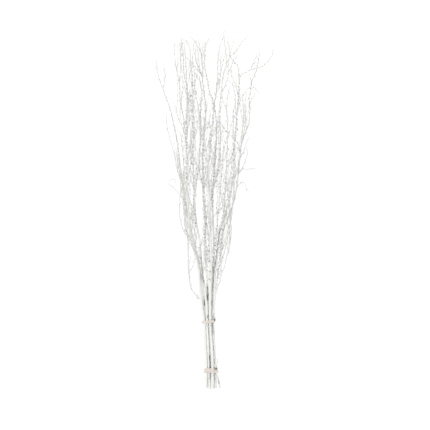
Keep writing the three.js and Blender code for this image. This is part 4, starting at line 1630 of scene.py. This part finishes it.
def patterned(tree, vector, pattern, length=1.0):
    """Noise that follows a vector, in units of a length."""
    size = tuple(each / length for each in pattern.stretch)
    stretched = add_node(tree, "Mapping", {"Vector": vector, "Scale": size}).outputs["Vector"]
    inputs = {
        "Vector": stretched, "Scale": pattern.scale, "Detail": pattern.detail, "Roughness": pattern.roughness,
    }
    return add_node(tree, "TexNoise", inputs).outputs["Fac"]


def ranged(tree, value, low, high, to_low=0.0, to_high=1.0):
    """A value brought from one range to another, and held within it."""
    inputs = {"Value": value, "From Min": low, "From Max": high, "To Min": to_low, "To Max": to_high}
    return add_node(tree, "MapRange", inputs).outputs["Result"]


def calculate(tree, operation, *values):
    return add_node(tree, "Math", dict(enumerate(values)), operation=operation).outputs[0]


def blended(tree, share, first, second):
    """A colour that goes from the first to the second by a share."""
    return add_node(tree, "Mix", {0: share, 6: first, 7: second}, data_type="RGBA").outputs[2]


def share_of(tree, name):
    return add_node(tree, "Attribute", attribute_name=name).outputs["Fac"]


def add_bump(tree, shader, height, strength, distance):
    inputs = {"Height": height, "Strength": strength, "Distance": distance * MM}
    tree.links.new(add_node(tree, "Bump", inputs).outputs["Normal"], shader.inputs["Normal"])


def painted_bark(paint):
    """Matt off-white paint, streaked and rubbed over dark bark, and thinner on fine wood and buds."""
    material, tree, shader = new_material("painted_bark", BARK_SURFACE)
    place = add_node(tree, "TexCoord").outputs["Object"]
    patterns = (STREAKS, BLOTCHES, GRAIN, BANDS)
    streaks, blotches, grain, bands = (patterned(tree, place, each, MM) for each in patterns)
    # The coat also carries painted shade and light: where wood is crowded by other branches, and in the dark
    # stretches
    coat = share_of(tree, "coat")

    thin = calculate(tree, "MULTIPLY", calculate(tree, "SUBTRACT", 1.0, coat), paint.rubbed)
    worn = calculate(tree, "ADD", calculate(tree, "MULTIPLY", blotches, BLOTCHES_WEAR), streaks)
    bare = ranged(tree, calculate(tree, "ADD", worn, thin), *WORN_THROUGH)
    marks = calculate(tree, "MULTIPLY", ranged(tree, bands, *BANDS_WEAR), BANDS_BARE)
    bare = calculate(tree, "MAXIMUM", bare, marks)

    film = blended(tree, coat, opaque(paint.thin_colour), opaque(paint.paint_colour))
    greyed = ranged(tree, blotches, *GREYED, 0, GREYED_SHARE)
    film = blended(tree, greyed, film, opaque(paint.shade_colour))
    dark = darker(paint.bark_colour, DARK_BARK)
    bark = blended(tree, ranged(tree, grain, *BARK_GRAIN), dark, opaque(paint.bark_colour))
    skin = blended(tree, bare, film, bark)

    rings = calculate(tree, "SINE", calculate(tree, "MULTIPLY", share_of(tree, "pith"), RINGS_TO_MM))
    rings = calculate(tree, "ADD", rings, calculate(tree, "MULTIPLY", grain, RINGS_GRAIN))
    late = darker(paint.wood_colour, LATE_WOOD)
    sawn = blended(tree, ranged(tree, rings, *LATE_RINGS), opaque(paint.wood_colour), late)
    colour = blended(tree, share_of(tree, "wood"), skin, sawn)
    tree.links.new(colour, shader.inputs["Base Color"])
    tree.links.new(ranged(tree, bare, 0, 1, *BARK_ROUGHNESS), shader.inputs["Roughness"])

    height = calculate(tree, "SUBTRACT", calculate(tree, "MULTIPLY", streaks, STREAKS_BUMP), bare)
    height = calculate(tree, "ADD", height, calculate(tree, "MULTIPLY", grain, GRAIN_BUMP))
    add_bump(tree, shader, height, *BARK_BUMP)
    return material


def plant_twine(twine):
    """Matt plant fibre, streaked along its strands, with painted shade at its knots and dusted on its loops.
    """
    material, tree, shader = new_material("plant_twine", TWINE_SURFACE)
    lay = add_node(tree, "Attribute", attribute_name="lay").outputs["Vector"]
    fibres = patterned(tree, lay, FIBRES)
    patches = patterned(tree, lay, PATCHES)

    clear = ranged(tree, fibres, *TWINE_FIBRES)
    colour = blended(tree, clear, opaque(twine.dark_colour), opaque(twine.colour))
    pale = opaque(min(1.0, each * PALER) for each in twine.colour)
    colour = blended(tree, ranged(tree, patches, *PALE_PATCHES, 0, PALE_SHARE), colour, pale)
    # Painted shade at the knots, and real paint dust on the loops
    for place, strength, tint in (
        ("knot_shade", KNOTS_DARK, twine.knot_shade_colour),
        ("dusted", LOOPS_DUSTED, twine.dust_colour),
    ):
        uneven = ranged(tree, fibres, *CLEAR_FIBRES, *strength)
        shade_and_dust = calculate(tree, "MULTIPLY", share_of(tree, place), uneven)
        colour = blended(tree, shade_and_dust, colour, opaque(tint))
    tree.links.new(colour, shader.inputs["Base Color"])
    add_bump(tree, shader, fibres, *TWINE_BUMP)
    return material


def pale_floor(stage):
    """A plain floor that stays pale under the bunch."""
    material, _, shader = new_material("pale_floor", FLOOR_SURFACE)
    shader.inputs["Base Color"].default_value = opaque(stage.floor_colour)
    shader.inputs["Emission Color"].default_value = opaque(WHITE)
    shader.inputs["Emission Strength"].default_value = stage.floor_glow
    return material


# Settings


RECORD_COLOURS = {each["slot"]: tuple(each["base_color"]) for each in frame["record"]["materials"]}


def colour_setting(name, description, default):
    return bpy.props.FloatVectorProperty(
        name=name, description=description, default=default, size=3, min=0, max=1, subtype="COLOR"
    )


def share_setting(name, description, default, most=1.0):
    return bpy.props.FloatProperty(
        name=name, description=description, default=default, min=0, max=most, subtype="FACTOR"
    )


def length_setting(name, description, default):
    return bpy.props.FloatProperty(
        name=name, description=description, default=default, min=0, unit="LENGTH", precision=5
    )


class BunchWood(bpy.types.PropertyGroup):
    """Sizes of the fine wood."""

    bud_size: share_setting("Bud size", "Length and width of every bud, as a share of the usual", 1.0, 2.0)
    bark_relief: share_setting("Bark relief", "How far the bark's waves and pores stand out", 1.0, 2.0)


class BunchPaint(bpy.types.PropertyGroup):
    """Colours of the paint, the bark and the sawn wood."""

    paint_colour: colour_setting("Paint", "Where the paint is thick", RECORD_COLOURS["painted_bark"])
    thin_colour: colour_setting("Thin paint", "Where the bark shows through", (0.67, 0.67, 0.65))
    shade_colour: colour_setting("Paint in blotches", "Where the paint has greyed", (0.79, 0.79, 0.775))
    bark_colour: colour_setting("Bark", "Where the paint is rubbed off", (0.13, 0.12, 0.1))
    wood_colour: colour_setting("Sawn wood", "At the cut ends", (0.7, 0.6, 0.45))
    rubbed: share_setting("Rubbed off", "How much more bark shows where the paint is thin", 0.15)


class BunchTwine(bpy.types.PropertyGroup):
    """Sizes and colours of the twine."""

    strand_radius: length_setting("Strand radius", "Of each of the three strands", 0.6 * MM)
    lay: length_setting("Lay", "Length of one turn of the strands round each other", 8.5 * MM)
    colour: colour_setting("Twine", "Of most fibres", (0.97, 0.91, 0.855))
    dark_colour: colour_setting("Dark fibres", "Between the strands' pale fibres", (0.68, 0.59, 0.52))
    # The colour of the painted shade in the hollows of the knots
    knot_shade_colour: colour_setting("Knots", "Where the twine is knotted", (0.12, 0.085, 0.06))
    dust_colour: colour_setting("Paint dust", "On the loops", (0.86, 0.86, 0.84))


class BunchStage(bpy.types.PropertyGroup):
    """The floor, the camera and the lights."""

    floor_colour: colour_setting("Floor", "Colour of the floor", (0.12, 0.12, 0.12))
    floor_glow: share_setting("Floor glow", "Keeps the floor pale and free of shadows", 0.93, 2.0)
    view_width: length_setting("View width", "How much the camera sees from side to side", 1.204)
    camera_height: length_setting("Camera height", "Above the floor", 12.0)
    sun_strength: bpy.props.FloatProperty(
        name="Sun", description="Strength of the soft light from the upper left", default=1.5, min=0
    )
    sky_strength: bpy.props.FloatProperty(
        name="Sky", description="Strength of the light from all round", default=0.68, min=0
    )


# Stage

# The middle of the view on the floor, the floor's size and how far under the bunch it lies, the camera's
# sensor and reach, and the tilt and softness of the sun
VIEW_MIDDLE = (0.0112, 0.434)
FLOOR_SIZE = 40
FLOOR_PARTS = 8
FLOOR_DROP = 0.4 * MM
SENSOR = 36
FARTHEST_SEEN = 60
SUN_TILT = (math.radians(-9), math.radians(-19))
SUN_SPREAD = 0.8


def lay_floor(stage):
    bpy.ops.object.select_all(action="DESELECT")
    bpy.ops.mesh.primitive_grid_add(x_subdivisions=FLOOR_PARTS, y_subdivisions=FLOOR_PARTS, size=FLOOR_SIZE)
    floor = bpy.context.object
    floor.name = "pale_floor"
    points = positions(floor.data)
    points[:, 2] = -FLOOR_DROP
    set_positions(floor.data, points)
    floor.data.materials.append(pale_floor(stage))


def hang_camera(stage):
    lens = bpy.data.cameras.new("overhead_camera")
    lens.sensor_width = SENSOR
    lens.lens = SENSOR * stage.camera_height / stage.view_width
    lens.clip_end = FARTHEST_SEEN
    camera = bpy.data.objects.new("overhead_camera", lens)
    camera.location = (*VIEW_MIDDLE, stage.camera_height)
    bpy.context.scene.collection.objects.link(camera)
    bpy.context.scene.camera = camera


def light_stage(stage):
    glow = bpy.data.lights.new("soft_sun", "SUN")
    glow.energy = stage.sun_strength
    glow.angle = SUN_SPREAD
    sun = bpy.data.objects.new("soft_sun", glow)
    sun.rotation_euler = (*SUN_TILT, 0)
    bpy.context.scene.collection.objects.link(sun)
    sky = bpy.data.worlds.new("pale_sky")
    sky.use_nodes = True
    background = sky.node_tree.nodes["Background"]
    background.inputs["Color"].default_value = opaque(WHITE)
    background.inputs["Strength"].default_value = stage.sky_strength
    bpy.context.scene.world = sky
    bpy.context.scene.view_settings.view_transform = "Standard"


# Operators and panel


class BIRCH_OT_grow_branches(bpy.types.Operator):
    """Grows the eight painted branches, with their limbs, twigs and buds"""

    bl_idname = "birch.grow_branches"
    bl_label = "Grow branches"

    def execute(self, context):
        wood = context.scene.bunch_wood
        material = painted_bark(context.scene.bunch_paint)
        form = bud_form()
        draws = Draws(FINISH_SEED)
        bunch = grow_bunch()
        for shoots in bunch:
            for shoot in shoots:
                give_wander(shoot, draws)
        for number, branch in enumerate(BRANCHES):
            crowd = crowd_round(bunch, number, draws)
            build_branch(branch, bunch[number], crowd, form, wood, material, draws)
        bpy.data.objects.remove(form)
        return {"FINISHED"}


class BIRCH_OT_wind_ties(bpy.types.Operator):
    """Winds and knots the two twine ties round the stems"""

    bl_idname = "birch.wind_ties"
    bl_label = "Wind ties"

    def execute(self, context):
        sizes = context.scene.bunch_twine
        strand = sizes.strand_radius / MM
        offset = strand * STRAND_CROWD * 2 / math.sqrt(3)
        radius = strand + offset
        twine = Twine(radius, strand, offset, sizes.lay / MM, radius * 2)
        stems = [framework(branch)[0] for branch in BRANCHES]
        material = plant_twine(sizes)
        for tie in TIES:
            wind_tie(tie, stems, twine, material)
        return {"FINISHED"}


class BIRCH_OT_set_stage(bpy.types.Operator):
    """Lays the pale floor, and sets the lights and the camera that looks straight down"""

    bl_idname = "birch.set_stage"
    bl_label = "Set stage"

    def execute(self, context):
        stage = context.scene.bunch_stage
        lay_floor(stage)
        hang_camera(stage)
        light_stage(stage)
        return {"FINISHED"}


class BIRCH_PT_bunch(bpy.types.Panel):
    """The settings and steps of the bunch"""

    bl_label = "Birch bunch"
    bl_idname = "BIRCH_PT_bunch"
    bl_space_type = "VIEW_3D"
    bl_region_type = "UI"
    bl_category = "Birch bunch"

    def draw(self, context):
        scene = context.scene
        for settings, steps in (
            ([scene.bunch_wood, scene.bunch_paint], BIRCH_OT_grow_branches),
            ([scene.bunch_twine], BIRCH_OT_wind_ties),
            ([scene.bunch_stage], BIRCH_OT_set_stage),
        ):
            box = self.layout.box()
            for group in settings:
                for name in group.__annotations__:
                    box.prop(group, name)
            box.operator(steps.bl_idname)


SETTINGS = {
    "bunch_wood": BunchWood,
    "bunch_paint": BunchPaint,
    "bunch_twine": BunchTwine,
    "bunch_stage": BunchStage,
}
CLASSES = (
    *SETTINGS.values(),
    BIRCH_OT_grow_branches,
    BIRCH_OT_wind_ties,
    BIRCH_OT_set_stage,
    BIRCH_PT_bunch,
)


def register():
    for each in CLASSES:
        bpy.utils.register_class(each)
    for name, group in SETTINGS.items():
        setattr(bpy.types.Scene, name, bpy.props.PointerProperty(type=group))


def unregister():
    for name in SETTINGS:
        delattr(bpy.types.Scene, name)
    for each in reversed(CLASSES):
        bpy.utils.unregister_class(each)


def main():
    register()
    bpy.ops.birch.grow_branches()
    bpy.ops.birch.wind_ties()
    bpy.ops.birch.set_stage()


if __name__ == "__main__":
    main()
